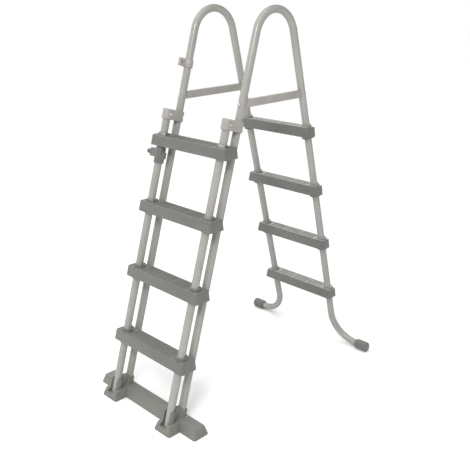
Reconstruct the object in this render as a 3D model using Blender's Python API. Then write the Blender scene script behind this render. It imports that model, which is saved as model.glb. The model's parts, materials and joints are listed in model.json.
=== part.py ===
"""A-frame pool ladder with a lift-out safety ladder on its outer side.

X runs across the ladder, Y from the outer side to the pool side, and Z up. The origin is on
the floor, under the middle of the ladder's bounding box. Left is -X, as seen from outside.
"""

import math

import bmesh
import bpy
from mathutils import Matrix, Vector

# Driving dimensions, in metres and radians.
APEX_HEIGHT = 1.800  # centre line of the handrail's bend, at its highest
SIDE_SPACING = 0.380  # between the two side frames, centre to centre
BEND_RADIUS = 0.131
OUTER_LEAN = math.radians(13.65)
POOL_LEAN = math.radians(17.45)
GUARD_OFFSET = 0.069  # from the outer leg's axis to the guard tube's, square to both

# Fits.
SEAT_GAP = 0.0003  # between pieces that touch
SLIDE_GAP = 0.0015  # between pieces that slide past each other
HEAD_GAP = 0.0025  # past the bolt heads that the safety ladder slides over

# Tubes.
TUBE_RADIUS = 0.0175
TUBE_WALL = 0.0012
TUBE_SIDES = 16
BEND_STEPS = 14
SPIGOT_LENGTH = 0.050
OUTER_JOINT_DROP = 0.490  # from the apex to where the handrail meets the outer leg
POOL_JOINT_DROP = 0.468  # from the apex to where the handrail meets the pool leg
FOOT_BEND_RADIUS = 0.150
FOOT_BEND_STEPS = 7
FOOT_REACH = 0.068  # of straight tube past the foot's bend

# Foot caps.
CAP_RADIUS = 0.026
CAP_LENGTH = 0.080
CAP_END_WALL = 0.006
CAP_COLLAR_RADIUS = 0.0225
CAP_COLLAR_LENGTH = 0.008
CAP_BORE_GAP = 0.0006

# Treads, common to both ladders.
TREAD_HEIGHT = 0.048
TREAD_CORNER = 0.010
TREAD_SKIN = 0.0035
TREAD_WALL = 0.0045
TREAD_POCKET_INSET = 0.042  # of the pockets' ends from the tubes' axes
TREAD_POCKETS = 5
RIB_THICKNESS = 0.003
COLLAR_RISE = 0.008  # above the tread's top, along the tube
COLLAR_DROP = 0.007  # below the tread's underside, along the tube

# Safety treads. Front and back are measured from the guard tube's axis at the top face.
SAFETY_TREAD_DROP = 0.570  # from the apex to the highest one's top face
SAFETY_TREAD_LOWEST = 0.3189  # top face of the lowest one
SAFETY_TREAD_FRONT = 0.034
SAFETY_TREAD_BACK = 0.048
SAFETY_TREAD_OVERHANG = 0.045  # past the tube's axis, at the top
SAFETY_TREAD_DRAFT = 0.006  # how much wider each side is at the bottom
SAFETY_COLLAR_HALF_WIDTH = 0.026
SAFETY_COLLAR_BACK = 0.022  # behind the guard tube's axis
SAFETY_COLLAR_SHOULDER = 0.012  # forward of that axis, where the collar starts to narrow
SAFETY_COLLAR_KEEL = 0.030  # forward of that axis, at the collar's point

# Pool treads. Front faces the pool wall, and is measured from the pool leg's axis.
POOL_TREAD_DROP = 0.537  # from the apex to the highest one's top face
POOL_TREAD_LOWEST = 0.342  # top face of the lowest one
POOL_TREAD_FRONT = 0.034
POOL_TREAD_BACK = 0.042
POOL_TREAD_STUB_BACK = 0.028
POOL_TREAD_STEP = 0.006  # where the stub narrows, past the leg's axis
POOL_TREAD_OVERHANG = 0.032
POOL_TREAD_DRAFT = 0.005
POOL_BOSS_RADIUS = 0.030
POOL_COLLAR_RADIUS = 0.0245
POOL_BOSS_DROP = 0.006  # of the boss's top below the collar's foot, from the top face

TREADS_PER_LADDER = 4

# Tread screws: each goes through the back of a collar into the tube.
SCREW_RADIUS = 0.0022
SCREW_HEAD_RADIUS = 0.0044
SCREW_HEAD_HEIGHT = 0.0028
SCREW_SEAT = 0.026  # from the tube's axis to the underside of the head
SCREW_TIP = 0.0125

# Spreader bars and their bolts.
SPREADER_OUTER_DROP = 0.398  # from the apex to the bolt in the outer leg's side
SPREADER_POOL_DROP = 0.375  # from the apex to the bolt in the pool leg's side
SPREADER_DEPTH = 0.034
SPREADER_WIDTH = 0.020
SPREADER_WALL = 0.0035
SPREADER_END_BLOCK = 0.048  # of solid bar, from the leg's axis
SPREADER_BOLT_RADIUS = 0.003
SPREADER_HEAD_RADIUS = 0.0065
SPREADER_HEAD_HEIGHT = 0.0045
SPREADER_HEAD_STANDOFF = 0.003  # from the tube to the underside of the head
BARREL_NUT_RADIUS = 0.006
BARREL_NUT_INSET = 0.030  # from the leg's axis
BOLT_PAST_NUT = 0.009

# Top brackets, which hold the safety ladder to the outer legs.
BRACKET_TOP_DROP = 0.471  # from the apex, on the outer leg's axis
BRACKET_HEIGHT = 0.046
BRACKET_WALL = 0.0065
BRACKET_CAP = 0.005  # over the guard tube's top
BRACKET_MOUTH = 0.026  # between the jaw's fingers
BRACKET_NOTCH_START = 0.010  # past the outer leg's axis
BRACKET_NOTCH_HEIGHT = 0.012  # between the upper and the lower fingers
BRACKET_BOLT_RADIUS = 0.003
BRACKET_HEAD_RADIUS = 0.0062
BRACKET_HEAD_HEIGHT = 0.004
BRACKET_HEAD_SINK = 0.001
BRACKET_NUT_RADIUS = 0.0058
BRACKET_NUT_THICKNESS = 0.0045
BRACKET_POCKET_DEPTH = 0.0045

# Clip that stops and parks the raised safety ladder, on the left handrail.
CLIP_TOP_DROP = 0.237  # from the apex
CLIP_HEIGHT = 0.036
CLIP_WALL = 0.005
CLIP_MOUTH = 0.022
CLIP_ARM_REACH = 0.060
CLIP_ARM_WIDTH = 0.014
CLIP_HOLE_RADIUS = 0.005
CLIP_HOLE_REACH = 0.043

# Base. Its front feet hold the guard tubes, and its sockets hold the outer legs.
BASE_OVERHANG = 0.145  # past each outer leg's axis
BASE_FRONT_INSET = 0.042  # main bar's front edge, forward of the outer leg's axis at the floor
BASE_BACK_INSET = 0.043  # main bar's back edge, behind that axis
BASE_HEIGHT = 0.041
BASE_SLOPE = 0.012
BASE_TRIM = 0.010  # spare material under the floor, trimmed off flat
BASE_SKIN = 0.004
BASE_FOOT_HALF_WIDTH = 0.051
BASE_FOOT_LEAD = 0.034  # forward of the guard tube's axis at the floor
BASE_FOOT_HEIGHT = 0.039
SOCKET_WALL = 0.006
SOCKET_TOP = 0.070  # height, on the outer leg's axis
SOCKET_FLOOR = 0.010
CRADLE_WALL = 0.0075
CRADLE_TOP = 0.088  # height, on the guard tube's axis
WEB_WIDTH = 0.85  # as a share of the tube's diameter
WEB_INSET = 0.33  # of its ends from the tubes' axes, as a share of the tube's radius
GUARD_TIP_HEIGHT = 0.013  # lowest point of the guard tube's plug
BASE_SCREW_GAP = 0.0105  # from the outer leg's tube to the screw's axis, along X
BASE_SCREW_BEHIND = 0.022
BASE_SCREW_RADIUS = 0.003
BASE_SCREW_HEAD_RADIUS = 0.006
BASE_SCREW_HEAD_HEIGHT = 0.003
BASE_SCREW_LENGTH = 0.024
BASE_POCKET_GAP = 0.062  # from an outer leg's axis to the pockets on both sides of it
BASE_POCKET_END = 0.023  # from the bar's end
BASE_RIM = 0.012

# Plugs in the guard tubes' lower ends.
PLUG_HEAD = 0.004
PLUG_SPIGOT = 0.022
PLUG_TAPER = 0.002

# Sprung latch on the left guard tube. Its plunger lies along X.
LATCH_DROP = 0.046  # of the housing's middle, from the highest safety tread's underside
LATCH_HOUSING_LENGTH = 0.074
LATCH_WALL = 0.006
LATCH_WING_REACH = 0.060
LATCH_WING_WIDTH = 0.022
LATCH_WING_LENGTH = 0.040
LATCH_LOBE_REACH = 0.036
LATCH_LOBE_WIDTH = 0.018
LATCH_LOBE_LENGTH = 0.030
LATCH_RISE = 0.008  # of the plunger above the housing's middle
LATCH_BORE_RADIUS = 0.0068
LATCH_END_WALL = 0.009
PIN_RADIUS = 0.003
PIN_TIP = 0.0125
PIN_TIP_RADIUS = 0.0021
PIN_TIP_TAPER = 0.0015
PIN_COLLAR_RADIUS = 0.0060
PIN_COLLAR_START = 0.0215
PIN_COLLAR_LENGTH = 0.002
KNOB_RADIUS = 0.0115
KNOB_LENGTH = 0.024
KNOB_NECK_RADIUS = 0.0075
KNOB_NECK_LENGTH = 0.007
KNOB_SOCKET_DEPTH = 0.014
KNOB_BEVEL = 0.002
KNOB_CROWN = 0.0035
SPRING_WIRE_RADIUS = 0.0006
SPRING_TURNS = 5
SPRING_STEPS = 10
SPRING_SIDES = 5

HEAD_CROWN = 0.7  # radius of a head's flat top, as a share of its own
HEAD_SHOULDER = 0.4  # height of a spreader bolt head's bevel, as a share of its own

SMALL_SIDES = 8
BOSS_SIDES = 20
NUT_SIDES = 6
SMOOTH_ANGLE = math.radians(38)

# Values that follow from the driving dimensions.
BORE_RADIUS = TUBE_RADIUS - TUBE_WALL
SPIGOT_RADIUS = BORE_RADIUS - SEAT_GAP
BEND_HEIGHT = APEX_HEIGHT - BEND_RADIUS
OUTER_JOINT_HEIGHT = APEX_HEIGHT - OUTER_JOINT_DROP
POOL_JOINT_HEIGHT = APEX_HEIGHT - POOL_JOINT_DROP
SPREADER_OUTER_HEIGHT = APEX_HEIGHT - SPREADER_OUTER_DROP
SPREADER_POOL_HEIGHT = APEX_HEIGHT - SPREADER_POOL_DROP
SPREADER_HEAD_SEAT = TUBE_RADIUS + SPREADER_HEAD_STANDOFF
SAFETY_TREAD_TOP = APEX_HEIGHT - SAFETY_TREAD_DROP
POOL_TREAD_TOP = APEX_HEIGHT - POOL_TREAD_DROP
TREAD_POCKET_HALF_LENGTH = SIDE_SPACING / 2 - TREAD_POCKET_INSET
BRACKET_TOP = APEX_HEIGHT - BRACKET_TOP_DROP
BRACKET_BOTTOM = BRACKET_TOP - BRACKET_HEIGHT
CLIP_TOP = APEX_HEIGHT - CLIP_TOP_DROP
CLIP_BOTTOM = CLIP_TOP - CLIP_HEIGHT
LATCH_HEIGHT = SAFETY_TREAD_TOP - TREAD_HEIGHT - LATCH_DROP
BASE_HALF_LENGTH = SIDE_SPACING / 2 + BASE_OVERHANG
BASE_SCREW_ASIDE = TUBE_RADIUS + BASE_SCREW_GAP
HOLE_START = TUBE_RADIUS / 2  # of cutters that open into a tube's bore, clear of its axis
SIDES = {"left": -1, "right": 1}
BOLT_GROOVE_DEPTH = SPREADER_HEAD_SEAT + SPREADER_HEAD_HEIGHT + HEAD_GAP
BOLT_GROOVE_WIDTH = 2 * (SPREADER_HEAD_RADIUS + SLIDE_GAP)

LIGHT_GREY = (0.50, 0.49, 0.46)
BRACKET_GREY = (0.42, 0.42, 0.40)
TREAD_GREY = (0.20, 0.205, 0.20)
BASE_GREY = (0.23, 0.25, 0.235)
CAP_GREY = (0.16, 0.165, 0.16)
BRIGHT_STEEL = (0.62, 0.62, 0.63)


def reach(lean, height):
    """Distance of a leg's axis from the middle of the bend, at this height."""
    tangent_height = BEND_HEIGHT + BEND_RADIUS * math.sin(lean)
    return BEND_RADIUS * math.cos(lean) + (tangent_height - height) * math.tan(lean)


GUARD_REACH = reach(OUTER_LEAN, 0) + GUARD_OFFSET / math.cos(OUTER_LEAN)
FRONT_EDGE = GUARD_REACH + BASE_FOOT_LEAD
BACK_EDGE = reach(POOL_LEAN, CAP_RADIUS) + CAP_RADIUS
BEND_Y = (FRONT_EDGE - BACK_EDGE) / 2


def leg_frame(x, y, turn):
    """Placement at the floor whose Z axis runs up a leaning tube, and whose Y is square to it."""
    return Matrix.Translation((x, y, 0)) @ Matrix.Rotation(turn, 4, "X")


def outer_frame(side):
    return leg_frame(SIDES[side] * SIDE_SPACING / 2, BEND_Y - reach(OUTER_LEAN, 0), -OUTER_LEAN)


def guard_frame(side):
    return outer_frame(side) @ Matrix.Translation((0, -GUARD_OFFSET, 0))


def pool_frame(side):
    return leg_frame(SIDES[side] * SIDE_SPACING / 2, BEND_Y + reach(POOL_LEAN, 0), POOL_LEAN)


def spreader_frame(side):
    """Placement on the outer leg's axis whose Z axis runs along the bar, and whose Y points down."""
    x = SIDES[side] * SIDE_SPACING / 2
    start = Vector((x, BEND_Y - reach(OUTER_LEAN, SPREADER_OUTER_HEIGHT), SPREADER_OUTER_HEIGHT))
    rise = math.atan2(SPREADER_POOL_HEIGHT - SPREADER_OUTER_HEIGHT, spreader_span())
    return Matrix.Translation(start) @ Matrix.Rotation(rise - math.pi / 2, 4, "X")


def spreader_span():
    return reach(OUTER_LEAN, SPREADER_OUTER_HEIGHT) + reach(POOL_LEAN, SPREADER_POOL_HEIGHT)


def spreader_length():
    return math.hypot(spreader_span(), SPREADER_POOL_HEIGHT - SPREADER_OUTER_HEIGHT)


def along(frame, height):
    """Distance up a leg's own axis at which it reaches this height."""
    return (height - frame.translation.z) / frame.col[2].z


def shifted(frame, x=0.0, y=0.0, z=0.0):
    return frame @ Matrix.Translation((x, y, z))


def facing(frame, axis, sign=1):
    """The same place, with Z turned to the frame's X or Y axis."""
    if axis == "X":
        return frame @ Matrix.Rotation(sign * math.pi / 2, 4, "Y")
    return frame @ Matrix.Rotation(-sign * math.pi / 2, 4, "X")


def arc(centre, radius, start, end, steps):
    """Points of an arc, with both ends, at angles in degrees."""
    turns = [math.radians(start + (end - start) * step / steps) for step in range(steps + 1)]
    return [(centre[0] + radius * math.cos(t), centre[1] + radius * math.sin(t)) for t in turns]


def rounded_rectangle(low_x, high_x, low_y, high_y, radius):
    corners = (
        ((high_x - radius, high_y - radius), 0),
        ((low_x + radius, high_y - radius), 90),
        ((low_x + radius, low_y + radius), 180),
        ((high_x - radius, low_y + radius), 270),
    )
    return [point for centre, start in corners for point in arc(centre, radius, start, start + 90, 3)]


def placed(name, bm, frame):
    """Makes an object of the bmesh, with its faces pointing out."""
    bmesh.ops.recalc_face_normals(bm, faces=bm.faces)
    mesh = bpy.data.meshes.new(name)
    bm.to_mesh(mesh)
    bm.free()
    obj = bpy.data.objects.new(name, mesh)
    obj.matrix_world = frame
    bpy.context.scene.collection.objects.link(obj)
    return obj


def bridged(bm, first, second):
    """Joins two rings of vertices, either of which may be a single point on the axis."""
    count = max(len(first), len(second))
    if count == 1:
        return
    for step in range(count):
        following = (step + 1) % count
        corners = [first[step % len(first)], first[following % len(first)]]
        corners += [second[following % len(second)], second[step % len(second)]]
        bm.faces.new(list(dict.fromkeys(corners)))


def turned(name, profile, frame, sides=TUBE_SIDES):
    """Solid turned about Z from a loop of (radius, height) points. A radius of 0 is on the axis.

    A small piece starts half a side round, so that no edge of it lies along a tube's edge.
    """
    bm = bmesh.new()
    rings = []
    start = 0.5 if sides == SMALL_SIDES else 0.0
    for radius, height in profile:
        count = sides if radius else 1
        turns = [2 * math.pi * (step + start) / count for step in range(count)]
        ring = [bm.verts.new((radius * math.cos(t), radius * math.sin(t), height)) for t in turns]
        rings.append(ring)
    for first, second in zip(rings, rings[1:] + rings[:1]):
        bridged(bm, first, second)
    return placed(name, bm, frame)


def rod(name, radius, low, high, frame, sides=TUBE_SIDES):
    return turned(name, [(0, low), (radius, low), (radius, high), (0, high)], frame, sides)


def lofted(name, sections, frame):
    """Solid through outlines of equal length, each given with its height."""
    bm = bmesh.new()
    rings = [[bm.verts.new((x, y, height)) for x, y in outline] for outline, height in sections]
    for first, second in zip(rings, rings[1:]):
        bridged(bm, first, second)
    bm.faces.new(rings[0])
    bm.faces.new(rings[-1])
    return placed(name, bm, frame)


def prism(name, outline, low, high, frame):
    return lofted(name, [(outline, low), (outline, high)], frame)


def block(name, low, high, frame, slope=0.0):
    """Box between two corners, whose sides lean in by the slope towards the top."""
    outlines = []
    for inset in (0.0, slope):
        left, right = low[0] + inset, high[0] - inset
        front, back = low[1] + inset, high[1] - inset
        outlines.append([(left, front), (right, front), (right, back), (left, back)])
    return lofted(name, [(outlines[0], low[2]), (outlines[1], high[2])], frame)


def swept(name, stations, across, frame):
    """Tube along a flat path. Each station is a centre, a direction, and outer and inner radii."""
    bm = bmesh.new()
    outer_rings = []
    inner_rings = []
    for centre, direction, outer, inner in stations:
        square = direction.cross(across)
        turns = [2 * math.pi * step / TUBE_SIDES for step in range(TUBE_SIDES)]
        spokes = [square * math.cos(t) + across * math.sin(t) for t in turns]
        outer_rings.append([bm.verts.new(centre + spoke * outer) for spoke in spokes])
        inner_rings.append([bm.verts.new(centre + spoke * inner) for spoke in spokes])
    loop = outer_rings + inner_rings[::-1]
    for first, second in zip(loop, loop[1:] + loop[:1]):
        bridged(bm, first, second)
    return placed(name, bm, frame)


def combine(target, operation, tools):
    """Unites the tools with the target, or cuts them away, and removes them."""
    for tool in tools:
        modifier = target.modifiers.new(operation.lower(), "BOOLEAN")
        modifier.operation = operation
        modifier.solver = "EXACT"
        modifier.object = tool
    bpy.context.view_layer.update()
    graph = bpy.context.evaluated_depsgraph_get()
    mesh = bpy.data.meshes.new_from_object(target.evaluated_get(graph))
    target.modifiers.clear()
    target.data = mesh
    for tool in tools:
        bpy.data.objects.remove(tool)


def cut(target, *tools):
    combine(target, "DIFFERENCE", tools)


def unite(target, *tools):
    combine(target, "UNION", tools)


def material(name, colour, roughness, metallic=0.0):
    """The material of this name, made the first time that it is asked for."""
    found = bpy.data.materials.get(name)
    if found:
        return found
    made = bpy.data.materials.new(name)
    made.use_nodes = True
    shader = made.node_tree.nodes["Principled BSDF"]
    shader.inputs["Base Color"].default_value = (*colour, 1.0)
    shader.inputs["Roughness"].default_value = roughness
    shader.inputs["Metallic"].default_value = metallic
    return made


def finish(obj, name, colour, roughness, metallic=0.0):
    obj.data.name = obj.name
    obj.data.materials.clear()
    obj.data.materials.append(material(name, colour, roughness, metallic))
    obj.data.shade_smooth()
    obj.data.set_sharp_from_angle(angle=SMOOTH_ANGLE)
    return obj


def powder_coat(obj):
    return finish(obj, "powder_coated_steel", LIGHT_GREY, 0.42)


def bright_steel(obj):
    return finish(obj, "bright_steel", BRIGHT_STEEL, 0.28, 1.0)


def tread_heights(top, lowest):
    """Heights of one ladder's top faces, evenly spaced, from the highest down."""
    pitch = (top - lowest) / (TREADS_PER_LADDER - 1)
    return [top - pitch * number for number in range(TREADS_PER_LADDER)]


def screw_spot(frame, height):
    """Placement of a tread screw, whose Z axis points out of the back of the tread's collar."""
    middle = along(frame, height - TREAD_HEIGHT / 2)
    return facing(shifted(frame, z=middle), "Y")


def screw_holes(frame, heights):
    """Cutters for the tread screws, through the near wall of one tube."""
    radius = SCREW_RADIUS + SEAT_GAP
    spots = [screw_spot(frame, height) for height in heights]
    return [rod("hole", radius, HOLE_START, SCREW_SEAT, spot, SMALL_SIDES) for spot in spots]


def bolt_hole(side):
    """Cutter along a spreader bar's bolts, through both legs."""
    ends = SPREADER_HEAD_SEAT + SPREADER_HEAD_HEIGHT
    radius = SPREADER_BOLT_RADIUS + SEAT_GAP
    return rod("hole", radius, -ends, spreader_length() + ends, spreader_frame(side), SMALL_SIDES)


def handrail(side):
    """Hairpin tube from the outer leg's joint, over the bend, to the pool leg's joint."""
    x = SIDES[side] * SIDE_SPACING / 2
    outer_end = Vector((x, BEND_Y - reach(OUTER_LEAN, OUTER_JOINT_HEIGHT), OUTER_JOINT_HEIGHT))
    pool_end = Vector((x, BEND_Y + reach(POOL_LEAN, POOL_JOINT_HEIGHT), POOL_JOINT_HEIGHT))
    stations = []
    first_turn = math.pi - OUTER_LEAN
    for step in range(BEND_STEPS + 1):
        turn = first_turn + (POOL_LEAN - first_turn) * step / BEND_STEPS
        spoke = Vector((0, math.cos(turn), math.sin(turn)))
        centre = Vector((x, BEND_Y, BEND_HEIGHT)) + spoke * BEND_RADIUS
        direction = Vector((0, math.sin(turn), -math.cos(turn)))
        stations.append((centre, direction, TUBE_RADIUS, BORE_RADIUS))
    stations.insert(0, (outer_end, stations[0][1], TUBE_RADIUS, BORE_RADIUS))
    stations.append((pool_end, stations[-1][1], TUBE_RADIUS, BORE_RADIUS))
    rail = swept(side + "_handrail", stations, Vector((1, 0, 0)), Matrix())
    cut(rail, bolt_hole(side))
    return powder_coat(rail)


def outer_leg(side):
    """Straight tube from the base's socket up to the handrail, with a swaged spigot on top."""
    frame = outer_frame(side)
    low = along(frame, SOCKET_FLOOR) + SEAT_GAP
    joint = along(frame, OUTER_JOINT_HEIGHT) - SEAT_GAP
    spigot_bore = SPIGOT_RADIUS - TUBE_WALL
    profile = [
        (TUBE_RADIUS, low),
        (TUBE_RADIUS, joint),
        (SPIGOT_RADIUS, joint),
        (SPIGOT_RADIUS, joint + SPIGOT_LENGTH),
        (spigot_bore, joint + SPIGOT_LENGTH),
        (spigot_bore, joint - TUBE_WALL),
        (BORE_RADIUS, joint - 2 * TUBE_WALL),
        (BORE_RADIUS, low),
    ]
    return powder_coat(turned(side + "_outer_leg", profile, frame))


def pool_leg(side):
    """Tube from the handrail down the pool side, bent outwards into a foot at the floor."""
    frame = pool_frame(side)
    outward = SIDES[side]
    joint = along(frame, POOL_JOINT_HEIGHT) - SEAT_GAP
    foot = along(frame, CAP_RADIUS)
    down = Vector((0, 0, -1))
    spigot_bore = SPIGOT_RADIUS - TUBE_WALL
    stations = [
        (Vector((0, 0, joint + SPIGOT_LENGTH)), down, SPIGOT_RADIUS, spigot_bore),
        (Vector((0, 0, joint)), down, SPIGOT_RADIUS, spigot_bore),
        (Vector((0, 0, joint)), down, TUBE_RADIUS, spigot_bore),
        (Vector((0, 0, joint - 2 * TUBE_WALL)), down, TUBE_RADIUS, BORE_RADIUS),
    ]
    for step in range(FOOT_BEND_STEPS + 1):
        turn = math.pi / 2 * step / FOOT_BEND_STEPS
        aside = FOOT_BEND_RADIUS * (1 - math.cos(turn))
        height = foot + FOOT_BEND_RADIUS * (1 - math.sin(turn))
        direction = Vector((outward * math.sin(turn), 0, -math.cos(turn)))
        centre = Vector((outward * aside, 0, height))
        stations.append((centre, direction, TUBE_RADIUS, BORE_RADIUS))
    tip = Vector((outward * (FOOT_BEND_RADIUS + FOOT_REACH), 0, foot))
    stations.append((tip, Vector((outward, 0, 0)), TUBE_RADIUS, BORE_RADIUS))
    leg = swept(side + "_pool_leg", stations, Vector((0, 1, 0)), frame)
    cut(leg, *screw_holes(frame, tread_heights(POOL_TREAD_TOP, POOL_TREAD_LOWEST)))
    return powder_coat(leg)


def foot_cap(side):
    """Blind plastic cup over the foot's end, with a narrower collar at its mouth."""
    outward = SIDES[side]
    x = outward * (SIDE_SPACING / 2 + FOOT_BEND_RADIUS)
    start = Matrix.Translation((x, BEND_Y + reach(POOL_LEAN, CAP_RADIUS), CAP_RADIUS))
    bore = TUBE_RADIUS + CAP_BORE_GAP
    floor = FOOT_REACH + SEAT_GAP
    end = floor + CAP_END_WALL
    round_end = arc((end - CAP_END_WALL, CAP_RADIUS - CAP_END_WALL), CAP_END_WALL, 90, 30, 3)
    profile = [(bore, 0), (CAP_COLLAR_RADIUS, 0), (CAP_COLLAR_RADIUS, CAP_COLLAR_LENGTH)]
    profile += [(CAP_RADIUS, CAP_COLLAR_LENGTH)]
    profile += [(radius, height) for height, radius in round_end]
    profile += [(0, end), (0, floor), (bore, floor)]
    cap = turned(side + "_foot_cap", profile, facing(start, "X", outward), BOSS_SIDES)
    return finish(cap, "cap_plastic", CAP_GREY, 0.55)


def spreader_bar(side):
    """Moulded bar between a side frame's legs, open underneath, with solid ends for the bolts."""
    frame = spreader_frame(side)
    length = spreader_length()
    half_width = SPREADER_WIDTH / 2
    half_depth = SPREADER_DEPTH / 2
    name = side + "_spreader_bar"
    bar = block(name, (-half_width, -half_depth, 0), (half_width, half_depth, length), frame)
    inner = half_width - SPREADER_WALL
    low = (-inner, SPREADER_WALL - half_depth, SPREADER_END_BLOCK)
    high = (inner, SPREADER_DEPTH, length - SPREADER_END_BLOCK)
    pocket = block("pocket", low, high, frame)
    radius = TUBE_RADIUS + SEAT_GAP
    tubes = []
    for leg, height in (
        (outer_frame(side), SPREADER_OUTER_HEIGHT),
        (pool_frame(side), SPREADER_POOL_HEIGHT),
    ):
        middle = along(leg, height)
        tubes.append(rod("tube", radius, middle - SPREADER_DEPTH, middle + SPREADER_DEPTH, leg))
    nuts = []
    for spot in barrel_nut_spots(side):
        bore = BARREL_NUT_RADIUS + SEAT_GAP
        nuts.append(rod("nut", bore, -SPREADER_WIDTH, SPREADER_WIDTH, spot, SMALL_SIDES))
    cut(bar, pocket, *tubes, *nuts)
    shanks = []
    for spot in spreader_bolt_spots(side):
        reach_in = BARREL_NUT_INSET + BOLT_PAST_NUT + SEAT_GAP
        shanks.append(rod("shank", SPREADER_BOLT_RADIUS + SEAT_GAP, HOLE_START, reach_in, spot, SMALL_SIDES))
    cut(bar, *shanks)
    return finish(bar, "bracket_plastic", BRACKET_GREY, 0.5)


def spreader_bolt_spots(side):
    """Placements on the two legs' axes, each with Z pointing into the bar."""
    frame = spreader_frame(side)
    far_end = shifted(frame, z=spreader_length()) @ Matrix.Rotation(math.pi, 4, "X")
    return [frame, far_end]


def barrel_nut_spots(side):
    return [facing(shifted(spot, z=BARREL_NUT_INSET), "X") for spot in spreader_bolt_spots(side)]


def spreader_bolt(name, spot):
    head = -SPREADER_HEAD_SEAT - SPREADER_HEAD_HEIGHT
    end = BARREL_NUT_INSET + BOLT_PAST_NUT
    profile = [
        (0, head),
        (SPREADER_HEAD_RADIUS * HEAD_CROWN, head),
        (SPREADER_HEAD_RADIUS, head + SPREADER_HEAD_HEIGHT * HEAD_SHOULDER),
        (SPREADER_HEAD_RADIUS, -SPREADER_HEAD_SEAT),
        (SPREADER_BOLT_RADIUS, -SPREADER_HEAD_SEAT),
        (SPREADER_BOLT_RADIUS, end),
        (0, end),
    ]
    return bright_steel(turned(name, profile, spot, SMALL_SIDES))


def barrel_nut(name, spot):
    half_length = SPREADER_WIDTH / 2 - SEAT_GAP
    nut = rod(name, BARREL_NUT_RADIUS, -half_length, half_length, spot, SMALL_SIDES)
    bore = SPREADER_BOLT_RADIUS + SEAT_GAP
    across = facing(spot, "X")
    cut(nut, rod("bore", bore, -2 * BARREL_NUT_RADIUS, 2 * BARREL_NUT_RADIUS, across, SMALL_SIDES))
    return bright_steel(nut)


def spreaders(side):
    spreader_bar(side)
    for end, bolt_spot, nut_spot in zip(
        ("outer", "pool"), spreader_bolt_spots(side), barrel_nut_spots(side)
    ):
        spreader_bolt(f"{side}_{end}_spreader_bolt", bolt_spot)
        barrel_nut(f"{side}_{end}_barrel_nut", nut_spot)


def tread_screw(name, spot):
    head = SCREW_SEAT + SCREW_HEAD_HEIGHT
    profile = [
        (0, SCREW_TIP),
        (SCREW_RADIUS, SCREW_TIP + SCREW_RADIUS),
        (SCREW_RADIUS, SCREW_SEAT),
        (SCREW_HEAD_RADIUS, SCREW_SEAT),
        (SCREW_HEAD_RADIUS * HEAD_CROWN, head),
        (0, head),
    ]
    return bright_steel(turned(name, profile, spot, SMALL_SIDES))


def underside_pockets(front, back):
    """Cutters that hollow a tread from below and leave cross ribs between them."""
    width = (2 * TREAD_POCKET_HALF_LENGTH + RIB_THICKNESS) / TREAD_POCKETS
    cutters = []
    for number in range(TREAD_POCKETS):
        left = number * width - TREAD_POCKET_HALF_LENGTH
        low = (left, TREAD_WALL - front, -2 * TREAD_HEIGHT)
        high = (left + width - RIB_THICKNESS, back - TREAD_WALL, -TREAD_SKIN)
        cutters.append(block("pocket", low, high, Matrix()))
    return cutters


def tube_cutters(frames, lean):
    """Cutters for the tubes and the screws of one tread, whose top face is at height 0."""
    length = 2 * TREAD_HEIGHT
    cutters = []
    for frame in frames:
        spot = facing(shifted(frame, z=-TREAD_HEIGHT / 2 / math.cos(lean)), "Y")
        cutters.append(rod("bore", TUBE_RADIUS + SEAT_GAP, -length, length, frame))
        shank = SCREW_RADIUS + SEAT_GAP
        head = SCREW_HEAD_RADIUS + SEAT_GAP
        seat = SCREW_SEAT - SEAT_GAP
        profile = [
            (0, HOLE_START),
            (shank, HOLE_START),
            (shank, seat),
            (head, seat),
            (head, length),
            (0, length),
        ]
        cutters.append(turned("screw_way", profile, spot, SMALL_SIDES))
    return cutters


def collar_span(lean):
    """Where a collar starts and ends along its tube, from the tread's top face."""
    return -(TREAD_HEIGHT + COLLAR_DROP) / math.cos(lean), COLLAR_RISE / math.cos(lean)


def safety_tread():
    """Tread of the safety ladder, with its top face at height 0 and the tubes' axes at Y 0."""
    half = SIDE_SPACING / 2
    top = rounded_rectangle(
        -half - SAFETY_TREAD_OVERHANG,
        half + SAFETY_TREAD_OVERHANG,
        -SAFETY_TREAD_FRONT,
        SAFETY_TREAD_BACK,
        TREAD_CORNER,
    )
    draft = SAFETY_TREAD_DRAFT
    bottom = rounded_rectangle(
        -half - SAFETY_TREAD_OVERHANG - draft,
        half + SAFETY_TREAD_OVERHANG + draft,
        -SAFETY_TREAD_FRONT - draft,
        SAFETY_TREAD_BACK + draft / 2,
        TREAD_CORNER,
    )
    tread = lofted("safety_tread", [(bottom, -TREAD_HEIGHT), (top, 0)], Matrix())
    frames = [leg_frame(sign * half, 0, -OUTER_LEAN) for sign in SIDES.values()]
    wide = SAFETY_COLLAR_HALF_WIDTH
    back, shoulder = SAFETY_COLLAR_BACK, -SAFETY_COLLAR_SHOULDER
    outline = [(-wide, back), (-wide, shoulder), (0, -SAFETY_COLLAR_KEEL), (wide, shoulder), (wide, back)]
    low, high = collar_span(OUTER_LEAN)
    unite(tread, *[prism("collar", outline, low, high, frame) for frame in frames])
    cut(tread, *underside_pockets(SAFETY_TREAD_FRONT, SAFETY_TREAD_BACK))
    length = 2 * TREAD_HEIGHT
    leg_ways = []
    for frame in frames:
        leg = shifted(frame, y=GUARD_OFFSET)
        leg_ways.append(rod("leg_way", TUBE_RADIUS + SLIDE_GAP, -length, length, leg))
        corner = BOLT_GROOVE_WIDTH / 2
        groove = block("bolt_way", (-corner, -BOLT_GROOVE_DEPTH, -length), (corner, 0, length), leg)
        leg_ways.append(groove)
    cut(tread, *leg_ways)
    cut(tread, *tube_cutters(frames, OUTER_LEAN))
    return finish(tread, "tread_plastic", TREAD_GREY, 0.6)


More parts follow.
